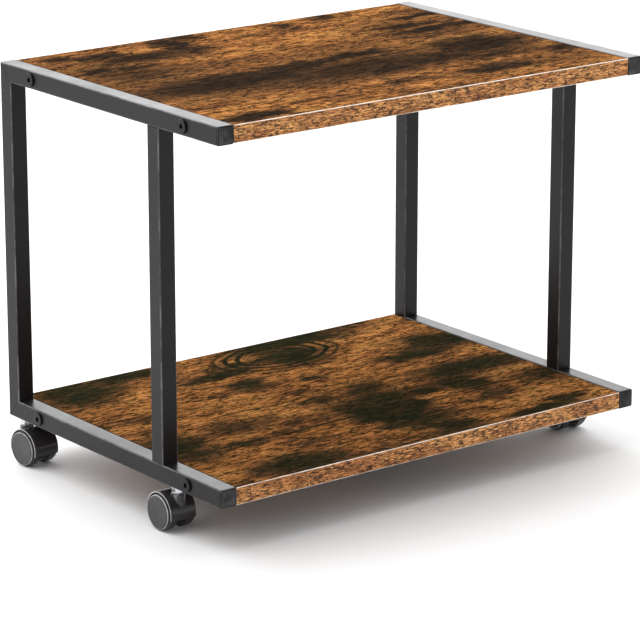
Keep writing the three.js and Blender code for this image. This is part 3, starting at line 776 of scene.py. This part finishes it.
def build_stain():
    """An oval stain on a board, half as strong on its outline and gone at twice its size. It is
    kept where it is stronger than the stains placed before it."""
    group, given, result = new_group(
        "Stain",
        [("Vector", "Vector", (0, 0, 0)), ("Place", "Vector", (0, 0, 0)), ("Reach", "Vector", (1, 1, 1)),
         ("Strength", "Float", 1.0), ("Before", "Float", 0.0)],
        [("Mask", "Float")],
    )
    from_middle = vectors(group, "SUBTRACT", given["Vector"], given["Place"])
    distance = vectors(group, "LENGTH", vectors(group, "DIVIDE", from_middle, given["Reach"]))
    mask = maths(group, "MULTIPLY", between(group, distance, 2.1, 0.1), given["Strength"])
    group.links.new(maths(group, "MAXIMUM", mask, given["Before"]), result["Mask"])


def build_seam():
    """A long thin dark line along X, a little wavy and broken by noise, kept where it is stronger
    than the lines before it."""
    group, given, result = new_group(
        "Seam",
        [("Vector", "Vector", (0, 0, 0)), ("Place", "Float", 0.0), ("Before", "Float", 0.0)],
        [("Mask", "Float")],
    )
    across = add_node(group, "ShaderNodeSeparateXYZ", {0: given["Vector"]}).outputs["Y"]
    wave_height, half_width, dark_half_width = 2.5 * MM, 2.8 * MM, 0.8 * MM
    wave = swing(group, noise(group, given["Vector"], (11, 30, 30), 3.0, 0.6), wave_height)
    away = maths(group, "SUBTRACT", maths(group, "ADD", across, wave), given["Place"])
    line = between(group, maths(group, "ABSOLUTE", away), half_width, dark_half_width)
    broken = between(group, noise(group, given["Vector"], (16, 90, 90), 3.0, 0.6), 0.40, 0.54)
    mask = maths(group, "MULTIPLY", maths(group, "MULTIPLY", line, broken), 0.95)
    group.links.new(maths(group, "MAXIMUM", mask, given["Before"]), result["Mask"])


def build_weathered_wood():
    """Printed weathered wood: streaks and fine grain along X, short dark cracks, and dark stains
    with ragged edges. It gives the colour, the roughness and the height of the print's emboss."""
    group, given, result = new_group(
        "Weathered Wood",
        [("Vector", "Vector", (0, 0, 0)), ("Stain", "Float", 0.0), ("Lines", "Float", 0.0),
         ("Light", "Color", (1, 1, 1, 1)), ("Mid", "Color", (0.5, 0.5, 0.5, 1)),
         ("Deep", "Color", (0.1, 0.1, 0.1, 1)), ("Dark", "Color", (0, 0, 0, 1))],
        [("Color", "Color"), ("Roughness", "Float"), ("Height", "Float")],
    )
    at = given["Vector"]
    broad = noise(group, at, (6, 22, 22), 3.0, 0.55, 0.4)
    streaks = noise(group, at, (17, 150, 150), 6.0, 0.74, 0.9)
    fine = noise(group, at, (70, 460, 460), 4.0, 0.75)
    flecks = noise(group, at, (62, 350, 350), 3.0, 0.65, 0.5)

    tone = total(group, swing(group, broad, 0.28), swing(group, streaks, 0.30), swing(group, fine, 0.18))
    base = blend(group, between(group, tone, -0.38, 0.04), given["Deep"], given["Mid"])
    base = blend(group, between(group, tone, -0.04, 0.40), base, given["Light"])

    # A stain is blackest inside its outline, and browns the wood round it.
    ragged = total(
        group, given["Stain"], swing(group, streaks, 0.24), swing(group, broad, 0.12),
        swing(group, fine, 0.12),
    )
    browned = blend(group, between(group, ragged, 0.0, 0.45, 0.0, 0.78), base, given["Deep"])
    stain = between(group, ragged, 0.32, 0.68)
    cover = maths(group, "MULTIPLY", stain, between(group, streaks, 0.40, 0.62, 1.0, 0.80))
    stained = blend(group, cover, browned, given["Dark"])

    # Cracks follow the borders of long cells, bent by noise and let through in patches.
    wander = add_node(group, "ShaderNodeTexNoise", {"Vector": at, "Scale": 90.0, "Detail": 3.0})
    centred = vectors(group, "SUBTRACT", wander.outputs["Color"], (0.5, 0.5, 0.5))
    bent = vectors(group, "ADD", at, vectors(group, "MULTIPLY", centred, (0.018, 0.009, 0.009)))
    cells = add_node(group, "ShaderNodeTexVoronoi", {
        "Vector": vectors(group, "MULTIPLY", bent, (26, 190, 190)), "Scale": 1.0,
    }, feature="DISTANCE_TO_EDGE").outputs["Distance"]
    lines = between(group, cells, 0.17, 0.03)
    patches = between(group, noise(group, at, (34, 90, 90), 4.0, 0.7), 0.38, 0.52)
    cracks = maths(group, "MULTIPLY", maths(group, "MULTIPLY", lines, patches), 0.9)
    cracks = maths(group, "MAXIMUM", cracks, given["Lines"])
    cracked = blend(group, cracks, stained, given["Dark"])

    pores = maths(
        group, "MULTIPLY", between(group, fine, NOISE_LOW, NOISE_HIGH, 0.48, 1.32),
        between(group, flecks, 0.34, 0.58, 0.50, 1.10),
    )
    shade = add_node(group, "ShaderNodeCombineColor", dict.fromkeys(range(3), pores)).outputs[0]
    group.links.new(blend(group, 1.0, cracked, shade, "MULTIPLY"), result["Color"])

    rough = total(group, 0.42, maths(group, "MULTIPLY", fine, 0.16), maths(group, "MULTIPLY", stain, 0.06))
    group.links.new(rough, result["Roughness"])
    raised = total(group, fine, maths(group, "MULTIPLY", streaks, 0.5))
    group.links.new(maths(group, "SUBTRACT", raised, cracks), result["Height"])


def build_groups():
    for name, build in (
        ("Surface Grain", build_surface_grain), ("Edge Wear and Painted Light", build_edge_wear_and_painted_light),
        ("Stain", build_stain), ("Seam", build_seam), ("Weathered Wood", build_weathered_wood),
    ):
        if name not in bpy.data.node_groups:
            build()


# ---- Finishes ----

def new_material(name, shader_inputs):
    """A material with a Principled shader, its object coordinates and its edge attribute."""
    material = bpy.data.materials.new(name)
    material.use_nodes = True
    tree = material.node_tree
    shader = tree.nodes["Principled BSDF"]
    for key, value in shader_inputs.items():
        shader.inputs[key].default_value = value
    at = add_node(tree, "ShaderNodeTexCoord").outputs["Object"]
    edge = add_node(tree, "ShaderNodeAttribute", attribute_name="edge").outputs["Fac"]
    return material, tree, shader, at, edge


def link_bump(tree, shader, height, strength, distance):
    inputs = {"Strength": strength, "Distance": distance, "Height": height}
    bump = add_node(tree, "ShaderNodeBump", inputs).outputs["Normal"]
    tree.links.new(bump, shader.inputs["Normal"])


def moulded_or_painted(name, rgb, wear_and_painted_light, shader_inputs, grains, roughness, spread, wear_and_light_amount, bump):
    """Paint, plastic or plating: one colour with slow shifts, edges in another colour for rubbed edges and a
    painted highlight, and fine surface grain with so many grains to the metre. The roughness strays by about
    the spread."""
    material, tree, shader, at, edge = new_material(name, shader_inputs)
    grain = use_group(tree, "Surface Grain", {
        "Vector": at, "Grains": grains, "Roughness": roughness, "Spread": spread,
    })
    # Edges are painted in the worn colour: rubbed edges and a painted highlight.
    edge_light_and_wear_mask = use_group(tree, "Edge Wear and Painted Light", {"Vector": at, "Edge": edge, "Amount": wear_and_light_amount})["Mask"]
    cloud = between(tree, noise(tree, at, (14, 14, 14), 4.0, 0.6), NOISE_LOW, NOISE_HIGH)
    darker, lighter = np.multiply(rgb, 0.86), np.minimum(np.multiply(rgb, 1.14), 1)
    shifted = blend(tree, cloud, solid(darker), solid(lighter))
    tree.links.new(blend(tree, edge_light_and_wear_mask, shifted, solid(wear_and_painted_light)), shader.inputs["Base Color"])
    tree.links.new(grain["Roughness"], shader.inputs["Roughness"])
    link_bump(tree, shader, grain["Height"], bump, 0.05 * MM)
    return material


def knot_rings(tree, at, knot):
    """Dark rings round a knot: a sine of the distance from its middle, strongest half way out. The
    sine's angle grows by so many radians from the middle to the knot's outline."""
    x, y, half_length, half_width = knot
    growth = 38.0
    from_middle = vectors(tree, "SUBTRACT", at, (x * MM, y * MM, 0))
    reach = (half_length * MM, half_width * MM, 1)
    distance = vectors(tree, "LENGTH", vectors(tree, "DIVIDE", from_middle, reach))
    wave = maths(tree, "SINE", maths(tree, "MULTIPLY", distance, growth))
    near = between(tree, distance, 0.25, 0.5)
    far = between(tree, distance, 1.2, 0.75)
    return maths(tree, "MULTIPLY", between(tree, wave, -0.2, 0.6), maths(tree, "MULTIPLY", near, far))


def wood_finish(name, tones, wear_and_painted_light, gloss, fineness, ground=0.0, stains=(), seams=(), knot=None):
    """Laminate printed as weathered wood in a light, a middle, a deep and a dark tone, with this board's
    stains, seams and knot, and edges painted in another tone: painted shade at a board's ends where it meets
    the rails, a painted highlight along a band's edges. The fineness scales the whole print's grain, and the
    ground is how stained it is between its stains."""
    light, mid, deep, dark = [solid(tone) for tone in tones]
    material, tree, shader, at, edge = new_material(name, {"Specular IOR Level": gloss})
    sway = add_node(tree, "ShaderNodeTexNoise", {
        "Vector": vectors(tree, "MULTIPLY", at, (22, 60, 60)), "Scale": 1.0, "Detail": 4.0,
        "Roughness": 0.65,
    }).outputs["Color"]
    sway = vectors(tree, "MULTIPLY", vectors(tree, "SUBTRACT", sway, (0.5, 0.5, 0.5)), (0.10, 0.05, 0.0))
    swayed = vectors(tree, "MULTIPLY", vectors(tree, "ADD", at, sway), (1, 1, 0))
    stained = ground
    for x, y, half_length, half_width, strength in stains:
        stained = use_group(tree, "Stain", {
            "Vector": swayed, "Place": (x * MM, y * MM, 0), "Reach": (half_length * MM, half_width * MM, 1),
            "Strength": strength, "Before": stained,
        })["Mask"]
    lines = 0.0
    if knot:
        gentle = vectors(tree, "MULTIPLY", sway, (0.12, 0.12, 0))
        level = vectors(tree, "MULTIPLY", at, (1, 1, 0))
        lines = knot_rings(tree, vectors(tree, "ADD", level, gentle), knot)
    for seam in seams:
        lines = use_group(tree, "Seam", {"Vector": at, "Place": seam * MM, "Before": lines})["Mask"]
    wood = use_group(tree, "Weathered Wood", {
        "Vector": vectors(tree, "MULTIPLY", at, (fineness, fineness, fineness)), "Stain": stained,
        "Lines": lines, "Light": light, "Mid": mid, "Deep": deep, "Dark": dark,
    })
    # Painted light on edges: painted shade at a board's ends, a painted highlight along a band's edges.
    edge_light_and_wear_mask = use_group(tree, "Edge Wear and Painted Light", {"Vector": at, "Edge": edge, "Amount": 2.0})["Mask"]
    tree.links.new(blend(tree, edge_light_and_wear_mask, wood["Color"], solid(wear_and_painted_light)), shader.inputs["Base Color"])
    tree.links.new(wood["Roughness"], shader.inputs["Roughness"])
    link_bump(tree, shader, wood["Height"], 0.35, 0.12 * MM)
    return material


def finish(name):
    """The material of that name, made the first time it is asked for."""
    if name in bpy.data.materials:
        return bpy.data.materials[name]
    build_groups()
    c = bpy.context.scene.stand_colours
    glossy, satin, matt = [
        {"Metallic": 0.0, "Specular IOR Level": level} for level in (0.5, 0.2, 0.08)
    ]
    metal = {"Metallic": 1.0}
    board_tones = (c.wood_light, c.wood_mid, c.wood_deep)
    # The worn colours on edges are rubbed edges and a painted highlight on the paint, caps and bolts, and
    # only a painted highlight on the nylon.
    if name == "Powder coat":
        return moulded_or_painted(
            name, c.powder_coat, c.powder_wear_and_highlight, satin,
            grains=1500.0, roughness=0.34, spread=0.05, wear_and_light_amount=0.85, bump=0.30)
    if name == "End cap plastic":
        return moulded_or_painted(
            name, c.cap_plastic, c.powder_wear_and_highlight, matt,
            grains=2200.0, roughness=0.36, spread=0.05, wear_and_light_amount=0.55, bump=0.25)
    if name == "Black zinc":
        return moulded_or_painted(
            name, c.bolt_black, c.powder_wear_and_highlight, satin,
            grains=2600.0, roughness=0.26, spread=0.08, wear_and_light_amount=0.60, bump=0.10)
    if name == "Bright zinc":
        return moulded_or_painted(
            name, c.zinc, c.zinc, metal,
            grains=900.0, roughness=0.22, spread=0.06, wear_and_light_amount=0.0, bump=0.08)
    if name == "Yellow zinc":
        return moulded_or_painted(
            name, c.yellow_zinc, c.yellow_zinc, metal,
            grains=900.0, roughness=0.28, spread=0.08, wear_and_light_amount=0.0, bump=0.10)
    if name == "Axle steel":
        return moulded_or_painted(
            name, c.axle_steel, c.axle_steel, metal,
            grains=1300.0, roughness=0.30, spread=0.08, wear_and_light_amount=0.0, bump=0.10)
    if name == "Hood nylon":
        return moulded_or_painted(
            name, c.hood_nylon, c.nylon_edge, glossy,
            grains=700.0, roughness=0.22, spread=0.05, wear_and_light_amount=0.95, bump=0.10)
    if name == "Wheel nylon":
        return moulded_or_painted(
            name, c.wheel_nylon, c.nylon_edge, glossy,
            grains=1800.0, roughness=0.26, spread=0.06, wear_and_light_amount=1.0, bump=0.18)
    # A board's ends take its stain colour as painted shade where it meets the rails.
    if name == "Upper board":
        return wood_finish(
            name, (*board_tones, c.stain_top), c.stain_top, gloss=0.0, fineness=1.3,
            stains=TOP_STAINS, seams=TOP_SEAMS)
    if name == "Lower board":
        return wood_finish(
            name, (*board_tones, c.stain_bottom), c.stain_bottom, gloss=0.0, fineness=1.3,
            stains=BOTTOM_STAINS, seams=BOTTOM_SEAMS, knot=BOTTOM_KNOT)
    # The band's edges take a pale colour as a painted highlight.
    if name == "Edge band":
        return wood_finish(
            name, (c.band_light, c.band_mid, c.band_deep, c.band_dark), c.band_edge, gloss=0.2,
            fineness=2.2, ground=-0.3)
    raise RuntimeError(f"there is no finish named {name}")


# ---- Operators ----

class STAND_OT_tubes(bpy.types.Operator):
    """Makes the rails and posts of both side frames"""

    bl_idname = "stand.tubes"
    bl_label = "Tubes"

    def execute(self, context):
        sizes = context.scene.stand_sizes
        for side in SIDES:
            for level in LEVELS:
                self.rail(f"{side}_{level}_rail", level, sizes)
            self.post(f"{side}_front_post", 0, sizes)
            self.post(f"{side}_rear_post", 1, sizes)
        return {"FINISHED"}

    def rail(self, node, level, sizes):
        """A rail runs back to its mitre. The outer face, which is the longer one, is below on a
        bottom rail and above on a top rail."""
        middle, size = box_of(node)
        start = middle - size / 2
        slope = 1 if level == "bottom" else -1
        mesh = tube_mesh(node, size.x, size.y, 0, slope, sizes)
        mesh.transform(axes((0, 1, 0), (1, 0, 0), (middle.x, start.y, middle.z)))
        side = node.split("_")[0]
        for end in ENDS:
            bolt, _ = box_of(f"{side}_{level}_{end}_bolt")
            place = axes((1, 0, 0), (0, 1, 0), (middle.x, bolt.y, bolt.z))
            mesh = combined(mesh, rod(sizes.bolt_hole, -size.x, size.x, place), "DIFFERENCE")
            if level == "bottom":
                nut, _ = box_of(f"{end}_{side}_rivet_nut")
                place = axes((0, 0, 1), (1, 0, 0), (nut.x, nut.y, start.z))
                mesh = combined(mesh, rod(sizes.nut_hole, -size.z / 2, size.z / 2, place), "DIFFERENCE")
        add_piece(f"{node}_tube", mesh, "frame", "frame_powder_coat", finish("Powder coat"), node)

    def post(self, node, slope, sizes):
        middle, size = box_of(node)
        mesh = tube_mesh(node, size.x, size.z, slope, slope, sizes)
        mesh.transform(axes((0, 0, 1), (1, 0, 0), (middle.x, middle.y, middle.z - size.z / 2)))
        add_piece(f"{node}_tube", mesh, "frame", "frame_powder_coat", finish("Powder coat"), node)


class STAND_OT_end_caps(bpy.types.Operator):
    """Makes the moulded caps in the front ends of the rails"""

    bl_idname = "stand.end_caps"
    bl_label = "End caps"

    def execute(self, context):
        sizes = context.scene.stand_sizes
        for side in SIDES:
            for level in LEVELS:
                node = f"{side}_{level}_end_cap"
                middle, size = box_of(node)
                mesh = end_cap_mesh(node, size.x, size.y, sizes)
                mesh.transform(axes((0, 1, 0), (1, 0, 0), (middle.x, middle.y - size.y / 2, middle.z)))
                name = f"{side}_{level}_front_cap"
                add_piece(name, mesh, "frame", "end_cap_plastic", finish("End cap plastic"), node)
        return {"FINISHED"}


class STAND_OT_boards(bpy.types.Operator):
    """Makes both boards, with the bores for their insert nuts, and their edge bands"""

    bl_idname = "stand.boards"
    bl_label = "Boards"

    def execute(self, context):
        sizes = context.scene.stand_sizes
        for level, material in (("top", "Upper board"), ("bottom", "Lower board")):
            self.board(level, material, sizes)
            for end in ENDS:
                self.band(f"{level}_shelf_{end}_edge_band", end, sizes)
        return {"FINISHED"}

    def board(self, level, material, sizes):
        node = f"{level}_shelf"
        middle, size = box_of(node)
        mesh = plank_mesh(
            node, size.y, size.z, size.x, sizes.board_edge, sizes.board_edge, sizes.board_shade)
        mesh.transform(axes((1, 0, 0), (0, 1, 0), middle))
        for side in SIDES:
            for end in ENDS:
                nut, _ = box_of(f"{side}_{level}_{end}_insert_nut")
                outward = math.copysign(1, nut.x)
                place = axes((-outward, 0, 0), (0, 1, 0), (outward * size.x / 2, nut.y, nut.z))
                cutter = rod(sizes.bore, -sizes.bore_depth, sizes.bore_depth, place)
                mesh = combined(mesh, cutter, "DIFFERENCE")
        add_piece(f"{level}_board", mesh, "frame", "board_laminate", finish(material), node)

    def band(self, node, end, sizes):
        middle, size = box_of(node)
        inner = 0.1 * MM
        radii = (inner, sizes.band_edge, sizes.band_edge, inner)
        mesh = plank_mesh(node, size.y, size.z, size.x, radii, inner, 0.0)
        towards = 1 if end == "front" else -1
        mesh.transform(axes((towards, 0, 0), (0, towards, 0), middle))
        name = node.replace("shelf", "board")
        add_piece(name, mesh, "frame", "board_edge_band", finish("Edge band"), node)


class STAND_OT_bolts(bpy.types.Operator):
    """Makes the shelf bolts, and gives their insert nuts a plated finish"""

    bl_idname = "stand.bolts"
    bl_label = "Bolts and insert nuts"

    def execute(self, context):
        sizes = context.scene.stand_sizes
        for side in SIDES:
            for level in LEVELS:
                for end in ENDS:
                    corner = f"{side}_{level}_{end}"
                    middle, size = box_of(f"{corner}_bolt")
                    outward = math.copysign(1, middle.x)
                    mesh = bolt_mesh(corner, size.y / 2, size.x, sizes)
                    seat = middle.x + outward * (size.x / 2 - sizes.bolt_head)
                    mesh.transform(axes((outward, 0, 0), (0, 0, 1), (seat, middle.y, middle.z)))
                    name = f"{corner}_shelf_bolt"
                    add_piece(name, mesh, "frame", "bolt_black", finish("Black zinc"), f"{corner}_bolt")
                    refinish(f"{corner}_insert_nut", "Yellow zinc")
        return {"FINISHED"}


def refinish(node, material):
    """Gives a CAD node that stays in view a finish of this file."""
    frame["nodes"][node].material_slots[0].material = finish(material)


class STAND_OT_stems(bpy.types.Operator):
    """Makes the rivet nuts under the bottom rails and the castors' stems"""

    bl_idname = "stand.stems"
    bl_label = "Rivet nuts and stems"

    def execute(self, context):
        sizes = context.scene.stand_sizes
        for castor in CASTORS:
            stem_place = castor_places(castor).stem
            node = f"{castor}_rivet_nut"
            _, size = box_of(node)
            low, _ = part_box(node)
            mesh = rivet_nut_mesh(node, size.x / 2, size.z, sizes)
            mesh.transform(stem_place @ Matrix.Translation((0, 0, low.z + sizes.nut_flange)))
            add_piece(f"{castor}_stem_nut", mesh, "frame", "stem_zinc", finish("Bright zinc"), node)

            node = f"{castor}_castor_stem"
            low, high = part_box(node)
            collar_bottom = JOINTS[f"{castor}_swivel"]["pos_m"][2] + sizes.pin_above_hood
            mesh = stem_mesh(node, low.z, high.z, collar_bottom, (high.y - low.y) / 2, sizes)
            mesh.transform(stem_place)
            add_piece(f"{castor}_stem", mesh, "frame", "stem_zinc", finish("Bright zinc"), node)
        return {"FINISHED"}


class STAND_OT_hoods(bpy.types.Operator):
    """Makes the castors' hoods, and gives their axles a steel finish"""

    bl_idname = "stand.hoods"
    bl_label = "Hoods and axles"

    def execute(self, context):
        sizes = context.scene.stand_sizes
        places = castor_places(CASTORS[0])
        pattern = hood_mesh("hood", places.trail, places.pillar_top, sizes)
        for castor in CASTORS:
            mesh = pattern.copy()
            mesh.transform(castor_places(castor).axle)
            node, body = f"{castor}_castor_hood", f"{castor}_castor"
            add_piece(f"{castor}_hood", mesh, body, "castor_hood_nylon", finish("Hood nylon"), node)
            refinish(f"{castor}_castor_axle", "Axle steel")
        bpy.data.meshes.remove(pattern)
        return {"FINISHED"}


class STAND_OT_wheels(bpy.types.Operator):
    """Makes the two wheels of each castor"""

    bl_idname = "stand.wheels"
    bl_label = "Wheels"

    def execute(self, context):
        sizes = context.scene.stand_sizes
        # The first castor points straight, so its wheel's box shows how far along the axle a wheel
        # runs from the castor's middle.
        straight = CASTORS[0]
        low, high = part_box(f"{straight}_castor_outer_wheel")
        straight_middle = castor_places(straight).axle.translation.x
        back, face = sorted(abs(straight_middle - np.array([low.x, high.x])))
        for castor in CASTORS:
            place = castor_places(castor).axle
            axle = place.translation
            across = place.col[0].to_3d()
            for which in ("outer", "inner"):
                body = f"{castor}_{which}_wheel"
                node = f"{castor}_castor_{which}_wheel"
                middle, _ = box_of(node)
                outward = across if (middle - axle).dot(across) > 0 else -across
                mesh = wheel_mesh(node, axle.z, back, face, sizes)
                mesh.transform(axes(outward, (0, 0, 1), axle))
                name = f"{castor}_{which}_roller"
                add_piece(name, mesh, body, "castor_wheel_nylon", finish("Wheel nylon"), node)
        return {"FINISHED"}


class STAND_OT_studio(bpy.types.Operator):
    """Makes the pale floor, the soft lights, the surroundings and the camera"""

    bl_idname = "stand.studio"
    bl_label = "Studio"

    def execute(self, context):
        studio = context.scene.stand_studio
        self.floor(studio)
        self.area_light(
            "Top light", place=(-0.6, 0.9, 2.4), target=(0, 0, 0.2), size=3.4, power=studio.top_light)
        self.area_light(
            "Left light", place=(-2.6, 0.6, 1.1), target=(0, 0, 0.25), size=1.8, power=studio.left_light)
        self.surroundings(studio)
        self.camera(context, studio)
        context.scene.view_settings.view_transform = "Standard"
        return {"FINISHED"}

    def floor(self, studio):
        half = studio.floor_size / 2
        floor_steps = 8
        side = np.linspace(-half, half, floor_steps + 1)
        x, y = np.meshgrid(side, side)
        grid = np.stack([x, y, 0 * x], axis=-1)
        index = np.arange(grid.size // 3).reshape(grid.shape[:2])
        quads = np.stack([index[:-1, :-1], index[:-1, 1:], index[1:, 1:], index[1:, :-1]], axis=-1)
        mesh = bpy.data.meshes.new("Floor")
        mesh.from_pydata(grid.reshape(-1, 3).tolist(), [], quads.reshape(-1, 4).tolist())
        floor = bpy.data.objects.new("Floor", mesh)
        bpy.context.scene.collection.objects.link(floor)
        colours = bpy.context.scene.stand_colours
        matt = {"Roughness": 0.9, "Specular IOR Level": 0.1}
        material, tree, shader, at, _ = new_material("Studio floor", matt)
        mottle = between(tree, noise(tree, at, (3, 3, 3)), NOISE_LOW, NOISE_HIGH)
        tone = blend(tree, mottle, solid(np.multiply(colours.floor, 0.99)), solid(colours.floor))
        tree.links.new(tone, shader.inputs["Base Color"])
        mesh.materials.append(material)

    def area_light(self, name, place, target, size, power):
        data = bpy.data.lights.new(name, "AREA")
        data.shape = "SQUARE"
        data.size = size
        data.energy = power
        light = bpy.data.objects.new(name, data)
        bpy.context.scene.collection.objects.link(light)
        light.location = place
        light.visible_camera = False
        light.rotation_euler = (Vector(target) - Vector(place)).to_track_quat("-Z", "Y").to_euler()

    def surroundings(self, studio):
        """Pale surroundings, brighter behind the stand than in front of it, with a glow low down
        behind it that lights up the tops of the rails."""
        world = bpy.data.worlds.new("Studio")
        bpy.context.scene.world = world
        world.use_nodes = True
        tree = world.node_tree
        towards = add_node(tree, "ShaderNodeTexCoord").outputs["Generated"]
        # The part of a direction that runs the way the camera looks is its X and Y parts, each
        # weighed by the camera's own, added up.
        yaw = studio.camera_yaw
        weighed = vectors(tree, "MULTIPLY", towards, (math.sin(yaw), math.cos(yaw), 1))
        depth = add_node(tree, "ShaderNodeSeparateXYZ", {0: weighed}).outputs
        backwards = maths(tree, "ADD", depth["X"], depth["Y"])
        sky = between(tree, backwards, -0.5, 0.85, studio.sky_front, studio.sky_back)
        above = between(tree, depth["Z"], 0.04, 0.2)
        below = between(tree, depth["Z"], 0.62, 0.34)
        behind = between(tree, backwards, 0.2, 0.9, 0.0, studio.sky_glow)
        glow = maths(tree, "MULTIPLY", maths(tree, "MULTIPLY", above, below), behind)
        strength = maths(tree, "ADD", sky, glow)
        tree.links.new(strength, tree.nodes["Background"].inputs["Strength"])
        tree.nodes["Background"].inputs["Color"].default_value = (1, 1, 1, 1)

    def camera(self, context, studio):
        data = bpy.data.cameras.new("Camera")
        data.sensor_width = 36.0
        data.lens = studio.camera_lens
        camera = bpy.data.objects.new("Camera", data)
        context.scene.collection.objects.link(camera)
        camera.location = studio.camera_place
        camera.rotation_euler = (math.pi / 2 - studio.camera_dip, 0, -studio.camera_yaw)
        context.scene.camera = camera


class STAND_PT_panel(bpy.types.Panel):
    """Buttons for each part of the stand, and its settings"""

    bl_idname = "STAND_PT_panel"
    bl_label = "Printer Stand"
    bl_space_type = "VIEW_3D"
    bl_region_type = "UI"
    bl_category = "Stand"

    def draw(self, context):
        for operator in OPERATORS:
            self.layout.operator(operator.bl_idname)
        for group in (context.scene.stand_sizes, context.scene.stand_colours, context.scene.stand_studio):
            box = self.layout.box()
            for name in group.__annotations__:
                box.prop(group, name)


OPERATORS = (
    STAND_OT_studio, STAND_OT_tubes, STAND_OT_end_caps, STAND_OT_boards, STAND_OT_bolts,
    STAND_OT_stems, STAND_OT_hoods, STAND_OT_wheels,
)
GROUPS = {"stand_sizes": StandSizes, "stand_colours": StandColours, "stand_studio": StandStudio}
CLASSES = (*GROUPS.values(), *OPERATORS, STAND_PT_panel)


def register():
    for item in CLASSES:
        bpy.utils.register_class(item)
    for name, group in GROUPS.items():
        setattr(bpy.types.Scene, name, PointerProperty(type=group))


def unregister():
    for name in GROUPS:
        delattr(bpy.types.Scene, name)
    for item in reversed(CLASSES):
        bpy.utils.unregister_class(item)


def main():
    """Makes everything."""
    register()
    bpy.ops.stand.studio()
    bpy.ops.stand.tubes()
    bpy.ops.stand.end_caps()
    bpy.ops.stand.boards()
    bpy.ops.stand.bolts()
    bpy.ops.stand.stems()
    bpy.ops.stand.hoods()
    bpy.ops.stand.wheels()


if __name__ == "__main__":
    main()
